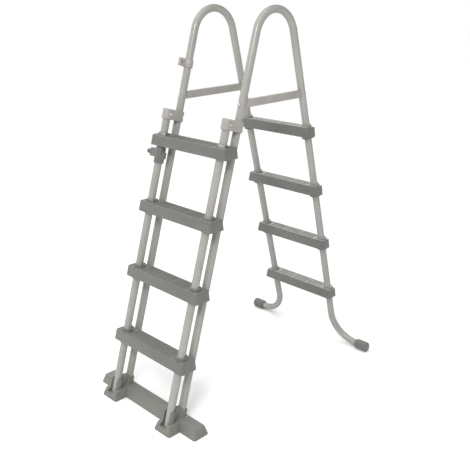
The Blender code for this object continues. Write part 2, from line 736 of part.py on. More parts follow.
def pool_tread_outline(grow):
    """Tread outline with a narrower stub past each leg, this much larger than at the top."""
    half = SIDE_SPACING / 2
    end = half + POOL_TREAD_OVERHANG + grow
    front = -POOL_TREAD_FRONT - grow
    back = POOL_TREAD_BACK + grow
    stub = POOL_TREAD_STUB_BACK + grow
    corner = TREAD_CORNER / 2
    right = [(end - corner, front), (end, front + corner), (end, stub - corner)]
    step = half + POOL_TREAD_STEP
    right += [(end - corner, stub), (step, stub), (step - corner, back)]
    return right + [(-x, y) for x, y in reversed(right)]


def pool_tread():
    """Tread of the pool side, with its top face at height 0 and the legs' axes at Y 0."""
    sections = [(pool_tread_outline(POOL_TREAD_DRAFT), -TREAD_HEIGHT), (pool_tread_outline(0), 0)]
    tread = lofted("pool_tread", sections, Matrix())
    frames = [leg_frame(sign * SIDE_SPACING / 2, 0, POOL_LEAN) for sign in SIDES.values()]
    low, high = collar_span(POOL_LEAN)
    bosses = []
    for frame in frames:
        profile = [(0, low), (POOL_BOSS_RADIUS, low), (POOL_BOSS_RADIUS, -POOL_BOSS_DROP)]
        profile += [(POOL_COLLAR_RADIUS, -POOL_BOSS_DROP), (POOL_COLLAR_RADIUS, high), (0, high)]
        bosses.append(turned("boss", profile, frame, BOSS_SIDES))
    unite(tread, *bosses)
    cut(tread, *underside_pockets(POOL_TREAD_FRONT, POOL_TREAD_BACK))
    cut(tread, *tube_cutters(frames, POOL_LEAN))
    return finish(tread, "tread_plastic", TREAD_GREY, 0.6)


def treads(kind, pattern_maker, heights, lean, axis_y, frame_maker):
    """Four copies of one tread, each with a screw at both ends."""
    pattern = pattern_maker()
    mesh = pattern.data
    bpy.data.objects.remove(pattern)
    for number, height in enumerate(heights, start=1):
        tread = bpy.data.objects.new(f"{kind}_tread_{number}", mesh)
        tread.location = (0, axis_y(height), height)
        bpy.context.scene.collection.objects.link(tread)
        for side in SIDES:
            spot = screw_spot(frame_maker(side), height)
            tread_screw(f"{kind}_tread_screw_{number}_{side}", spot)


def guard_y(height):
    return BEND_Y - reach(OUTER_LEAN, height) - GUARD_OFFSET / math.cos(OUTER_LEAN)


def pool_y(height):
    return BEND_Y + reach(POOL_LEAN, height)


def bracket_span(frame):
    return along(frame, BRACKET_BOTTOM), along(frame, BRACKET_TOP)


def guard_plug_bottom(frame):
    """Distance up the guard tube's axis of its plug's underside."""
    return along(frame, GUARD_TIP_HEIGHT + TUBE_RADIUS * math.sin(OUTER_LEAN))


def guard_tube(side):
    """Straight tube of the safety ladder, from its plug up to the top bracket's cap."""
    frame = guard_frame(side)
    low = guard_plug_bottom(frame) + PLUG_HEAD + SEAT_GAP
    high = bracket_span(outer_frame(side))[1] - BRACKET_CAP - SEAT_GAP
    profile = [(TUBE_RADIUS, low), (TUBE_RADIUS, high), (BORE_RADIUS, high), (BORE_RADIUS, low)]
    tube = turned(side + "_guard_tube", profile, frame)
    holes = screw_holes(frame, tread_heights(SAFETY_TREAD_TOP, SAFETY_TREAD_LOWEST))
    radius = BRACKET_BOLT_RADIUS + SEAT_GAP
    wide = 2 * TUBE_RADIUS
    holes.append(rod("hole", radius, -wide, wide, bracket_bolt_spot(side), SMALL_SIDES))
    if side == "left":
        holes.append(rod("hole", PIN_RADIUS + SEAT_GAP, HOLE_START, wide, plunger_spot(), SMALL_SIDES))
    cut(tube, *holes)
    return powder_coat(tube)


def tube_plug(side):
    frame = guard_frame(side)
    low = guard_plug_bottom(frame)
    shoulder = low + PLUG_HEAD
    end = shoulder + PLUG_SPIGOT
    profile = [
        (0, low),
        (TUBE_RADIUS, low),
        (TUBE_RADIUS, shoulder),
        (SPIGOT_RADIUS, shoulder),
        (SPIGOT_RADIUS, end - PLUG_TAPER),
        (SPIGOT_RADIUS - PLUG_TAPER, end),
        (0, end),
    ]
    return finish(turned(side + "_tube_plug", profile, frame), "cap_plastic", CAP_GREY, 0.55)


def bracket_bolt_spot(side):
    """Placement on the guard tube's axis, with Z pointing outwards along X."""
    frame = guard_frame(side)
    low, high = bracket_span(outer_frame(side))
    return facing(shifted(frame, z=(low + high) / 2), "X", SIDES[side])


def top_bracket(side):
    """Bracket capping the guard tube, whose jaw of four fingers slides along the outer leg."""
    frame = outer_frame(side)
    low, high = bracket_span(frame)
    bore = TUBE_RADIUS + SLIDE_GAP
    outer = TUBE_RADIUS + BRACKET_WALL
    mouth = math.degrees(math.asin(BRACKET_MOUTH / 2 / bore))
    finger = math.degrees(math.asin(BRACKET_MOUTH / 2 / outer))
    jaw_outside = arc((0, 0), outer, 90 - finger, 0, 7)
    cap_outside = arc((0, -GUARD_OFFSET), outer, 0, -180, 14)
    far_outside = arc((0, 0), outer, 180, 90 + finger, 7)
    jaw_inside = arc((0, 0), bore, 90 + mouth, 450 - mouth, 18)
    outline = jaw_outside + cap_outside + far_outside + jaw_inside
    bracket = prism(side + "_top_bracket", outline, low, high, frame)
    guard = guard_frame(side)
    bolt = bracket_bolt_spot(side)
    wide = 2 * outer
    shank = BRACKET_BOLT_RADIUS + SEAT_GAP
    nut_end = outer - BRACKET_POCKET_DEPTH
    corner = BOLT_GROOVE_WIDTH / 2
    groove = (-corner, -BOLT_GROOVE_DEPTH, low - outer), (corner, 0, high + outer)
    middle = (low + high) / 2
    notch_low = (-wide, BRACKET_NOTCH_START, middle - BRACKET_NOTCH_HEIGHT / 2)
    notch_high = (wide, wide, middle + BRACKET_NOTCH_HEIGHT / 2)
    cut(
        bracket,
        rod("tube", TUBE_RADIUS + SEAT_GAP, low - outer, high - BRACKET_CAP, guard),
        block("bolt_way", *groove, frame),
        block("notch", notch_low, notch_high, frame),
        rod("shank", shank, -wide, wide, bolt, SMALL_SIDES),
        rod("head", BRACKET_HEAD_RADIUS + SEAT_GAP, outer - BRACKET_HEAD_SINK, wide, bolt, SMALL_SIDES),
        rod("nut", BRACKET_NUT_RADIUS + SEAT_GAP, -wide, -nut_end, bolt, NUT_SIDES),
    )
    return finish(bracket, "bracket_plastic", BRACKET_GREY, 0.5)


def bracket_fixing(side):
    """Bolt across the top bracket and the guard tube, with its nut in the inner pocket."""
    spot = bracket_bolt_spot(side)
    outer = TUBE_RADIUS + BRACKET_WALL
    seat = outer - BRACKET_HEAD_SINK + SEAT_GAP
    nut_face = outer - BRACKET_POCKET_DEPTH + SEAT_GAP
    tip = nut_face + BRACKET_NUT_THICKNESS
    profile = [
        (0, -tip),
        (BRACKET_BOLT_RADIUS, -tip),
        (BRACKET_BOLT_RADIUS, seat),
        (BRACKET_HEAD_RADIUS, seat),
        (BRACKET_HEAD_RADIUS * HEAD_CROWN, seat + BRACKET_HEAD_HEIGHT),
        (0, seat + BRACKET_HEAD_HEIGHT),
    ]
    bright_steel(turned(side + "_bracket_bolt", profile, spot, SMALL_SIDES))
    bore = BRACKET_BOLT_RADIUS + SEAT_GAP
    nut = rod(side + "_bracket_nut", BRACKET_NUT_RADIUS, -tip, -nut_face, spot, NUT_SIDES)
    cut(nut, rod("bore", bore, -2 * tip, 0, spot, SMALL_SIDES))
    bright_steel(nut)


def stop_clip():
    """Open ring on the left handrail, with a drilled arm over the raised bracket's path."""
    frame = outer_frame("left")
    low = along(frame, CLIP_BOTTOM)
    high = along(frame, CLIP_TOP)
    bore = TUBE_RADIUS + SEAT_GAP
    outer = TUBE_RADIUS + CLIP_WALL
    half = CLIP_ARM_WIDTH / 2
    mouth = math.degrees(math.asin(CLIP_MOUTH / 2 / bore))
    finger = math.degrees(math.asin(CLIP_MOUTH / 2 / outer))
    root = math.degrees(math.acos(half / outer))
    tip = arc((0, half - CLIP_ARM_REACH), half, 0, -180, 6)
    outline = arc((0, 0), outer, 90 - finger, -root, 8) + tip
    outline += arc((0, 0), outer, 180 + root, 90 + finger, 8)
    outline += arc((0, 0), bore, 90 + mouth, 450 - mouth, 18)
    clip = prism("raised_stop_clip", outline, low, high, frame)
    hole = facing(shifted(frame, y=-CLIP_HOLE_REACH, z=(low + high) / 2), "X")
    cut(clip, rod("hole", CLIP_HOLE_RADIUS, -outer, outer, hole, SMALL_SIDES))
    return finish(clip, "bracket_plastic", BRACKET_GREY, 0.5)


def plinth(name, low, high):
    """Block with sloping sides that also runs straight down below the floor, to be trimmed there."""
    outlines = []
    for inset in (0.0, BASE_SLOPE):
        left, right = low[0] + inset, high[0] - inset
        front, back = low[1] + inset, high[1] - inset
        outlines.append([(left, front), (right, front), (right, back), (left, back)])
    sections = [(outlines[0], -BASE_TRIM), (outlines[0], 0), (outlines[1], high[2])]
    return lofted(name, sections, Matrix())


def base_foot(side):
    """Front foot of the base, which reaches forward under the guard tube."""
    x = SIDES[side] * SIDE_SPACING / 2
    front = BEND_Y - FRONT_EDGE
    back = BEND_Y - reach(OUTER_LEAN, 0)
    low = (x - BASE_FOOT_HALF_WIDTH, front)
    high = (x + BASE_FOOT_HALF_WIDTH, back, BASE_FOOT_HEIGHT)
    return plinth("foot", low, high)


def base_holders(side):
    """Round socket for the outer leg, cradle for the guard tube, and the web that joins them."""
    leg = outer_frame(side)
    guard = guard_frame(side)
    socket_top = along(leg, SOCKET_TOP)
    cradle_top = along(guard, CRADLE_TOP)
    web = TUBE_RADIUS * WEB_WIDTH
    web_start = TUBE_RADIUS * WEB_INSET
    web_end = GUARD_OFFSET - web_start
    web_top = (socket_top + cradle_top) / 2
    return [
        rod("socket", TUBE_RADIUS + SOCKET_WALL, 0, socket_top, leg, BOSS_SIDES),
        rod("cradle", TUBE_RADIUS + CRADLE_WALL, 0, cradle_top, guard, BOSS_SIDES),
        block("web", (-web, -web_end, BASE_TRIM), (web, -web_start, web_top), leg),
    ]


def base_cutters(side):
    """Socket bore, guard tube slot, its open front, and the base screw's hole."""
    leg = outer_frame(side)
    guard = guard_frame(side)
    far = 2 * CRADLE_TOP
    floor = guard_plug_bottom(guard) - SEAT_GAP
    slot = TUBE_RADIUS + SLIDE_GAP
    screw = base_screw_spot(side)
    shank = BASE_SCREW_RADIUS + SEAT_GAP
    depth = BASE_SCREW_LENGTH + SEAT_GAP
    open_front = arc((0, 0), slot, 0, 180, 12) + [(-slot, -far), (slot, -far)]
    return [
        rod("bore", TUBE_RADIUS + SEAT_GAP, along(leg, SOCKET_FLOOR), far, leg),
        prism("slot", open_front, floor, far, guard),
        rod("screw", shank, -depth, BASE_HEIGHT, screw, SMALL_SIDES),
    ]


def base_pockets():
    """Cutters that hollow the main bar from below, between and outside the feet."""
    front = BEND_Y - reach(OUTER_LEAN, 0) - BASE_FRONT_INSET + BASE_RIM
    back = BEND_Y - reach(OUTER_LEAN, 0) + BASE_BACK_INSET - BASE_RIM
    middle_end = SIDE_SPACING / 2 - BASE_POCKET_GAP
    outer_start = SIDE_SPACING / 2 + BASE_POCKET_GAP
    outer_end = BASE_HALF_LENGTH - BASE_POCKET_END
    spans = [
        (-outer_end, -outer_start),
        (-middle_end, -RIB_THICKNESS / 2),
        (RIB_THICKNESS / 2, middle_end),
        (outer_start, outer_end),
    ]
    top = BASE_HEIGHT - BASE_SKIN
    cutters = []
    for left, right in spans:
        cutters.append(block("pocket", (left, front, -top), (right, back, top), Matrix()))
    return cutters


def base_step():
    """Moulded base across both ladders, flat underneath, with outriggers past the feet."""
    leg_y = BEND_Y - reach(OUTER_LEAN, 0)
    low = (-BASE_HALF_LENGTH, leg_y - BASE_FRONT_INSET)
    high = (BASE_HALF_LENGTH, leg_y + BASE_BACK_INSET, BASE_HEIGHT)
    base = plinth("base_step", low, high)
    added = [base_foot(side) for side in SIDES]
    for side in SIDES:
        added += base_holders(side)
    unite(base, *added)
    wide = 2 * BASE_HALF_LENGTH
    below_floor = block("below_floor", (-wide, -wide * 2, -wide), (wide, wide, 0), Matrix())
    cut(base, below_floor)
    cut(base, *base_pockets())
    for side in SIDES:
        cut(base, *base_cutters(side))
    return finish(base, "base_plastic", BASE_GREY, 0.6)


def base_screw_spot(side):
    """Placement on the base's top, beside and behind the outer leg's socket."""
    x = SIDES[side] * (SIDE_SPACING / 2 + BASE_SCREW_ASIDE)
    y = BEND_Y - reach(OUTER_LEAN, 0) + BASE_SCREW_BEHIND
    return Matrix.Translation((x, y, BASE_HEIGHT + SEAT_GAP))


def base_screw(side):
    head = BASE_SCREW_HEAD_HEIGHT
    profile = [
        (0, -BASE_SCREW_LENGTH),
        (BASE_SCREW_RADIUS, -BASE_SCREW_LENGTH),
        (BASE_SCREW_RADIUS, 0),
        (BASE_SCREW_HEAD_RADIUS, 0),
        (BASE_SCREW_HEAD_RADIUS, head / 2),
        (BASE_SCREW_HEAD_RADIUS * HEAD_CROWN, head),
        (0, head),
    ]
    return bright_steel(turned(side + "_base_screw", profile, base_screw_spot(side), SMALL_SIDES))


def plunger_spot():
    """Placement on the left guard tube's axis, with Z pointing outwards along the plunger."""
    frame = guard_frame("left")
    return facing(shifted(frame, z=along(frame, LATCH_HEIGHT) + LATCH_RISE), "X", SIDES["left"])


def latch_housing():
    """Collar on the left guard tube, with a wing that holds the plunger and its spring."""
    frame = guard_frame("left")
    spot = plunger_spot()
    middle = along(frame, LATCH_HEIGHT)
    half = LATCH_HOUSING_LENGTH / 2
    outer = TUBE_RADIUS + LATCH_WALL
    housing = rod("latch_housing", outer, middle - half, middle + half, frame, BOSS_SIDES)
    wide = LATCH_WING_WIDTH / 2
    tall = LATCH_WING_LENGTH / 2
    plunger = middle + LATCH_RISE
    wing_corners = (-LATCH_WING_REACH, -wide, plunger - tall), (0, wide, plunger + tall)
    lobe_wide = LATCH_LOBE_WIDTH / 2
    lobe_tall = LATCH_LOBE_LENGTH / 2
    lobe_corners = (0, -lobe_wide, middle - lobe_tall), (LATCH_LOBE_REACH, lobe_wide, middle + lobe_tall)
    unite(housing, block("wing", *wing_corners, frame), block("lobe", *lobe_corners, frame))
    bore_end = LATCH_WING_REACH - LATCH_END_WALL
    stem = PIN_RADIUS + SEAT_GAP
    way_out = 2 * LATCH_WING_REACH
    profile = [
        (0, HOLE_START),
        (LATCH_BORE_RADIUS, HOLE_START),
        (LATCH_BORE_RADIUS, bore_end),
        (stem, bore_end),
        (stem, way_out),
        (0, way_out),
    ]
    cut(
        housing,
        turned("plunger_way", profile, spot, SMALL_SIDES),
        rod("tube", TUBE_RADIUS + SEAT_GAP, middle - 2 * half, middle + 2 * half, frame),
    )
    return finish(housing, "tread_plastic", TREAD_GREY, 0.6)


def latch_pin():
    """Plunger whose tip enters the guard tube, with a collar that the spring pushes on."""
    end = LATCH_WING_REACH + SEAT_GAP + KNOB_SOCKET_DEPTH
    collar = PIN_COLLAR_START
    profile = [
        (0, PIN_TIP),
        (PIN_TIP_RADIUS, PIN_TIP),
        (PIN_RADIUS, PIN_TIP + PIN_TIP_TAPER),
        (PIN_RADIUS, collar),
        (PIN_COLLAR_RADIUS, collar),
        (PIN_COLLAR_RADIUS, collar + PIN_COLLAR_LENGTH),
        (PIN_RADIUS, collar + PIN_COLLAR_LENGTH),
        (PIN_RADIUS, end),
        (0, end),
    ]
    return bright_steel(turned("latch_pin", profile, plunger_spot(), SMALL_SIDES))


def latch_knob():
    """Round pull knob on the plunger's outer end."""
    start = LATCH_WING_REACH + 2 * SEAT_GAP
    floor = start + KNOB_SOCKET_DEPTH
    end = start + KNOB_LENGTH
    bore = PIN_RADIUS + SEAT_GAP
    shoulder = start + KNOB_NECK_LENGTH
    crown_middle = (end - KNOB_CROWN, KNOB_RADIUS - KNOB_CROWN)
    round_end = arc(crown_middle, KNOB_CROWN, 90, 0, 3)
    profile = [(bore, start), (KNOB_NECK_RADIUS, start), (KNOB_NECK_RADIUS, shoulder)]
    profile += [(KNOB_RADIUS, shoulder + KNOB_BEVEL)]
    profile += [(radius, height) for height, radius in round_end]
    profile += [(0, end), (0, floor), (bore, floor)]
    knob = turned("latch_knob", profile, plunger_spot())
    return finish(knob, "tread_plastic", TREAD_GREY, 0.6)


def latch_spring():
    """Coil spring between the plunger's collar and the housing's end wall."""
    wire = SPRING_WIRE_RADIUS
    start = PIN_COLLAR_START + PIN_COLLAR_LENGTH + SEAT_GAP + wire
    end = LATCH_WING_REACH - LATCH_END_WALL - SEAT_GAP - wire
    coil = (PIN_RADIUS + LATCH_BORE_RADIUS) / 2
    bm = bmesh.new()
    rings = []
    count = SPRING_TURNS * SPRING_STEPS
    for step in range(count + 1):
        turn = 2 * math.pi * step / SPRING_STEPS
        out = Vector((math.cos(turn), math.sin(turn), 0))
        centre = out * coil + Vector((0, 0, start + (end - start) * step / count))
        turns = [2 * math.pi * side / SPRING_SIDES for side in range(SPRING_SIDES)]
        spokes = [out * math.cos(t) + Vector((0, 0, 1)) * math.sin(t) for t in turns]
        rings.append([bm.verts.new(centre + spoke * wire) for spoke in spokes])
    for first, second in zip(rings, rings[1:]):
        bridged(bm, first, second)
    bm.faces.new(rings[0])
    bm.faces.new(rings[-1])
    return bright_steel(placed("latch_spring", bm, plunger_spot()))


def build():
    for obj in list(bpy.data.objects):
        bpy.data.objects.remove(obj)
    for side in SIDES:
        handrail(side)
        outer_leg(side)
        pool_leg(side)
        foot_cap(side)
        spreaders(side)
        guard_tube(side)
        tube_plug(side)
        top_bracket(side)
        bracket_fixing(side)
        base_screw(side)
    safety_heights = tread_heights(SAFETY_TREAD_TOP, SAFETY_TREAD_LOWEST)
    treads("safety", safety_tread, safety_heights, OUTER_LEAN, guard_y, guard_frame)
    pool_heights = tread_heights(POOL_TREAD_TOP, POOL_TREAD_LOWEST)
    treads("pool", pool_tread, pool_heights, POOL_LEAN, pool_y, pool_frame)
    base_step()
    stop_clip()
    latch_housing()
    latch_pin()
    latch_knob()
    latch_spring()


build()
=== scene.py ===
import json
from math import acos, asin, atan2, cos, degrees, pi, radians, sin, tan

import bmesh
import bpy
from mathutils import Matrix, Vector

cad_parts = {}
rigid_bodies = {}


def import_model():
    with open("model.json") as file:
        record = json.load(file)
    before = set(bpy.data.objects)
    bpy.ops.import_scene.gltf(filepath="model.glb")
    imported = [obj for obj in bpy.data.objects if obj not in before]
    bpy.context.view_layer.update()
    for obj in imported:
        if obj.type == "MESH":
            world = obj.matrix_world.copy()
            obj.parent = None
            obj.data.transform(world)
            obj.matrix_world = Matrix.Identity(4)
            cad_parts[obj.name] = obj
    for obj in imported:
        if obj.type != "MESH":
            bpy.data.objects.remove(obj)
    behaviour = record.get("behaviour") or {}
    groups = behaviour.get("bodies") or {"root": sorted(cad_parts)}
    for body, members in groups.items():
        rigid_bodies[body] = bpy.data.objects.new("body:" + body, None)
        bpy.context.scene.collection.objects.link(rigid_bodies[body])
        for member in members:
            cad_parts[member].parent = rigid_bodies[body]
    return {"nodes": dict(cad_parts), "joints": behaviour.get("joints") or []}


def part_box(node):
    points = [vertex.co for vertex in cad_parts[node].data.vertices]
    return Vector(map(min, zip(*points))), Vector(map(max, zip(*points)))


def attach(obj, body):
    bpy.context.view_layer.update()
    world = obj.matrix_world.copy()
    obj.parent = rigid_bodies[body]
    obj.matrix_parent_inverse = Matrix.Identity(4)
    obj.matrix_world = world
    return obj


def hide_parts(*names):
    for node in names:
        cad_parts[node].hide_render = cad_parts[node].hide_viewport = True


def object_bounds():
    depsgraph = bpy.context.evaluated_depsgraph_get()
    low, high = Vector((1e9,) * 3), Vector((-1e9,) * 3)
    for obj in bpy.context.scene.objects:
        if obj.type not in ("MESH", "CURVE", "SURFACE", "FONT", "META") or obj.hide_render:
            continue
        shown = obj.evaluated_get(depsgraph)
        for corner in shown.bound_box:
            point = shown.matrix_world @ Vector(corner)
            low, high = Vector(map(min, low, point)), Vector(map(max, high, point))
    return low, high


for startup in list(bpy.data.objects):
    bpy.data.objects.remove(startup)
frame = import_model()
cadLow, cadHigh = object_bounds()
print("frame loaded:", len(frame["nodes"]), "nodes")

sides = {"left": -1, "right": 1}
treadNumbers = (1, 2, 3, 4)

# ---- where things are, read from the frame

lift = next(joint for joint in frame["joints"] if joint["name"] == "safety_ladder_lift")
outerLean = atan2(lift["axis"][1], lift["axis"][2])
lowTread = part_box("pool_tread_4")[0]
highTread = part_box("pool_tread_1")[0]
poolLean = atan2(lowTread.y - highTread.y, highTread.z - lowTread.z)
legLow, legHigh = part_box("right_outer_leg")
tubeRadius = (legHigh.x - legLow.x) / 2
halfSpacing = (legHigh.x + legLow.x) / 2


def middle(node):
    low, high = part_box(node)
    return (low + high) / 2


def leaning(x, y, turn):
    # placement on the floor whose Z runs up a tube, with Y square to it
    return Matrix.Translation((x, y, 0)) @ Matrix.Rotation(turn, 4, "X")


def outerAxis(node):
    low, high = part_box(node)
    y = low.y + tubeRadius * cos(outerLean)
    z = low.z + tubeRadius * sin(outerLean)
    return leaning((low.x + high.x) / 2, y - z * tan(outerLean), -outerLean)


def poolAxis(side):
    cap = middle(side + "_foot_cap")
    return leaning(sides[side] * halfSpacing, cap.y + cap.z * tan(poolLean), poolLean)


outerFrames = {side: outerAxis(side + "_outer_leg") for side in sides}
guardFrames = {side: outerAxis(side + "_guard_tube") for side in sides}
poolFrames = {side: poolAxis(side) for side in sides}
guardGap = outerFrames["left"].translation.y - guardFrames["left"].translation.y

# the bend touches both legs' axes and reaches the handrail's top
apex = cadHigh.z - tubeRadius
outerFoot = outerFrames["left"].translation.y
poolFoot = poolFrames["left"].translation.y
spread = poolFoot - outerFoot - apex * (tan(outerLean) + tan(poolLean))
bendRadius = spread / (1 / cos(outerLean) - tan(outerLean) + 1 / cos(poolLean) - tan(poolLean))
bendZ = apex - bendRadius
bendY = outerFoot + bendZ * tan(outerLean) + bendRadius / cos(outerLean)


def up(axis, height):
    # distance up a leaning axis to this height
    return height / axis.col[2].z


def onAxis(axis, height):
    return axis @ Vector((0, 0, up(axis, height)))


def upTo(axis, node):
    # distance up an axis to the node's middle
    return (axis.inverted() @ middle(node)).z


def moved(axis, x=0.0, y=0.0, z=0.0):
    return axis @ Matrix.Translation((x, y, z))


def outwards(side):
    return "X" if sides[side] > 0 else "-X"


def aimed(axis, direction):
    # same place, with Z turned to the axis's X, -X or Y
    turns = {"X": (90, "Y"), "-X": (-90, "Y"), "Y": (-90, "X")}
    degrees, about = turns[direction]
    return axis @ Matrix.Rotation(radians(degrees), 4, about)


# ---- materials

def newFinish(name):
    made = bpy.data.materials.new(name)
    made.use_nodes = True
    tree = made.node_tree
    tree.nodes.new("ShaderNodeTexCoord")
    return made, tree, tree.nodes["Principled BSDF"]


def objectSpace(tree):
    return tree.nodes["Texture Coordinate"].outputs["Object"]


def addNode(tree, kind, **settings):
    node = tree.nodes.new(kind)
    for key, value in settings.items():
        setattr(node, key, value)
    return node


def noiseOf(tree, scale, detail, stretch=None):
    coordinates = objectSpace(tree)
    node = addNode(tree, "ShaderNodeTexNoise")
    node.inputs["Scale"].default_value = scale
    node.inputs["Detail"].default_value = detail
    if stretch:
        mapping = addNode(tree, "ShaderNodeMapping")
        mapping.inputs["Scale"].default_value = stretch
        tree.links.new(coordinates, mapping.inputs["Vector"])
        coordinates = mapping.outputs["Vector"]
    tree.links.new(coordinates, node.inputs["Vector"])
    return node.outputs["Fac"]


def ranged(tree, value, fromLow, fromHigh, toLow, toHigh):
    node = addNode(tree, "ShaderNodeMapRange")
    limits = {"From Min": fromLow, "From Max": fromHigh, "To Min": toLow, "To Max": toHigh}
    for label, number in limits.items():
        node.inputs[label].default_value = number
    tree.links.new(value, node.inputs["Value"])
    return node.outputs["Result"]


def mixed(tree, factor, first, second):
    node = addNode(tree, "ShaderNodeMix", data_type="RGBA")
    tree.links.new(factor, node.inputs["Factor"])
    for label, colour in (("A", first), ("B", second)):
        socket = [s for s in node.inputs if s.name == label and s.type == "RGBA"][0]
        if isinstance(colour, tuple):
            socket.default_value = (*colour, 1)
        else:
            tree.links.new(colour, socket)
    return [s for s in node.outputs if s.type == "RGBA"][0]


def times(tree, first, second):
    node = addNode(tree, "ShaderNodeMath", operation="MULTIPLY")
    for socket, value in zip(node.inputs, (first, second)):
        tree.links.new(value, socket)
    return node.outputs["Value"]


def bumped(tree, height, strength, distance, before=None):
    node = addNode(tree, "ShaderNodeBump")
    node.inputs["Strength"].default_value = strength
    node.inputs["Distance"].default_value = distance
    tree.links.new(height, node.inputs["Height"])
    if before:
        tree.links.new(before, node.inputs["Normal"])
    return node.outputs["Normal"]


def topMask(tree):
    # 1 on faces that look up, which are painted paler: part dust and wear, part painted sheen
    geometry = addNode(tree, "ShaderNodeNewGeometry")
    split = addNode(tree, "ShaderNodeSeparateXYZ")
    tree.links.new(geometry.outputs["Normal"], split.inputs["Vector"])
    return ranged(tree, split.outputs["Z"], 0.75, 0.97, 0.0, 1.0)


def fed(tree, shader, colour, roughness, normal):
    for label, source in (("Base Color", colour), ("Roughness", roughness), ("Normal", normal)):
        tree.links.new(source, shader.inputs[label])


# edge is a painted shade colour, mixed in where the tubes turn away from view
powderCoat = dict(
    colour=(0.285, 0.274, 0.253), pale=(0.316, 0.306, 0.285), scuff=(0.23, 0.221, 0.206),
    edge=(0.175, 0.168, 0.155), roughness=(0.2, 0.28), peelScale=620.0, peelDepth=0.00004, specular=0.6,
)


def makePowderCoat(values):
    finish, tree, shader = newFinish("powderCoatedSteel")
    cloud = ranged(tree, noiseOf(tree, 9.0, 4.0), 0.35, 0.65, 0.0, 1.0)
    colour = mixed(tree, cloud, values["colour"], values["pale"])
    scuffs = ranged(tree, noiseOf(tree, 38.0, 8.0, (1, 1, 0.18)), 0.62, 0.72, 0.0, 0.35)
    colour = mixed(tree, scuffs, colour, values["scuff"])
    # painted shade: the coat is darkened where it turns away from view, standing in for the shade along the
    # tubes' sides
    facing = addNode(tree, "ShaderNodeLayerWeight").outputs["Facing"]
    colour = mixed(tree, ranged(tree, facing, 0.3, 0.8, 0.0, 0.8), colour, values["edge"])
    roughness = ranged(tree, noiseOf(tree, 60.0, 5.0), 0.3, 0.7, *values["roughness"])
    peel = noiseOf(tree, values["peelScale"], 2.0)
    ripple = bumped(tree, noiseOf(tree, 55.0, 2.0), 0.15, 0.0004)
    fed(tree, shader, colour, roughness, bumped(tree, peel, 0.5, values["peelDepth"], ripple))
    shader.inputs["Specular IOR Level"].default_value = values["specular"]
    return finish


treadPlastic = dict(
    colour=(0.114, 0.113, 0.105), pale=(0.136, 0.135, 0.126), wearAndSheenColour=(0.56, 0.55, 0.52), wearAndSheenShare=0.12,
    poolSheenShare=0.9, gloss=(0.25, 0.36),  # painted sheen: pool-side tops are painted far paler, standing in for the backdrop reflected at a grazing angle
)
basePlastic = dict(
    colour=(0.148, 0.152, 0.134), pale=(0.176, 0.18, 0.16), wearAndSheenColour=(0.25, 0.25, 0.22),
    wearAndSheenShare=0.45, gloss=(0.42, 0.56),
)
bracketPlastic = dict(
    colour=(0.28, 0.267, 0.247), pale=(0.33, 0.315, 0.294), wearAndSheenColour=(0.42, 0.4, 0.375),
    wearAndSheenShare=0.3, gloss=(0.4, 0.55),
)
capPlastic = dict(
    colour=(0.115, 0.115, 0.108), pale=(0.146, 0.146, 0.137), wearAndSheenColour=(0.2, 0.198, 0.186),
    wearAndSheenShare=0.4, gloss=(0.4, 0.55),
)


def makePlastic(name, values):
    # moulded plastic with a spark-eroded grain, faint flow marks and paler tops, part wear and part painted
    # sheen
    finish, tree, shader = newFinish(name)
    flow = ranged(tree, noiseOf(tree, 14.0, 5.0, (0.35, 1, 1)), 0.35, 0.65, 0.0, 1.0)
    colour = mixed(tree, flow, values["colour"], values["pale"])
    # painted sheen and real wear: up-facing faces are mixed towards a paler colour, mottled by this noise
    topMottle = ranged(tree, noiseOf(tree, 30.0, 3.0, (0.6, 1, 1)), 0.3, 0.65, 0.8, 1.0)
    split = addNode(tree, "ShaderNodeSeparateXYZ")
    tree.links.new(objectSpace(tree), split.inputs["Vector"])
    # painted sheen: the pool side (Y above 0) takes a much larger share of the pale top colour
    wearAndSheenShare = ranged(tree, split.outputs["Y"], -0.1, 0.1, values["wearAndSheenShare"], values.get("poolSheenShare", values["wearAndSheenShare"]))
    wearAndSheenTops = times(tree, times(tree, topMask(tree), topMottle), wearAndSheenShare)
    colour = mixed(tree, wearAndSheenTops, colour, values["wearAndSheenColour"])
    speck = ranged(tree, noiseOf(tree, 900.0, 2.0), 0.3, 0.7, 0.0, 0.3)
    colour = mixed(tree, speck, colour, values["pale"])
    roughness = ranged(tree, noiseOf(tree, 30.0, 4.0), 0.3, 0.7, *values["gloss"])
    sink = bumped(tree, noiseOf(tree, 22.0, 2.0), 0.12, 0.0008)
    grain = noiseOf(tree, 1500.0, 3.0)
    fed(tree, shader, colour, roughness, bumped(tree, grain, 0.45, 0.00012, sink))
    shader.inputs["Specular IOR Level"].default_value = 0.5
    return finish


brightSteel = dict(colour=(0.66, 0.66, 0.67), stain=(0.5, 0.49, 0.47), roughness=(0.2, 0.36))


def makeSteel(values):
    finish, tree, shader = newFinish("brightPlatedSteel")
    stain = ranged(tree, noiseOf(tree, 160.0, 5.0), 0.5, 0.75, 0.0, 0.8)
    colour = mixed(tree, stain, values["colour"], values["stain"])
    grain = noiseOf(tree, 420.0, 4.0, (1, 1, 3))
    roughness = ranged(tree, grain, 0.3, 0.7, *values["roughness"])
    fed(tree, shader, colour, roughness, bumped(tree, grain, 0.25, 0.00005))
    shader.inputs["Metallic"].default_value = 1.0
    return finish


finishes = {
    "powder_coat": makePowderCoat(powderCoat),
    "tread_plastic": makePlastic("treadPlastic", treadPlastic),
    "base_plastic": makePlastic("basePlastic", basePlastic),
    "bracket_plastic": makePlastic("bracketPlastic", bracketPlastic),
    "cap_plastic": makePlastic("capPlastic", capPlastic),
    "bright_steel": makeSteel(brightSteel),
}
print("materials made:", len(finishes))

# ---- mesh helpers

softAngle = radians(42)


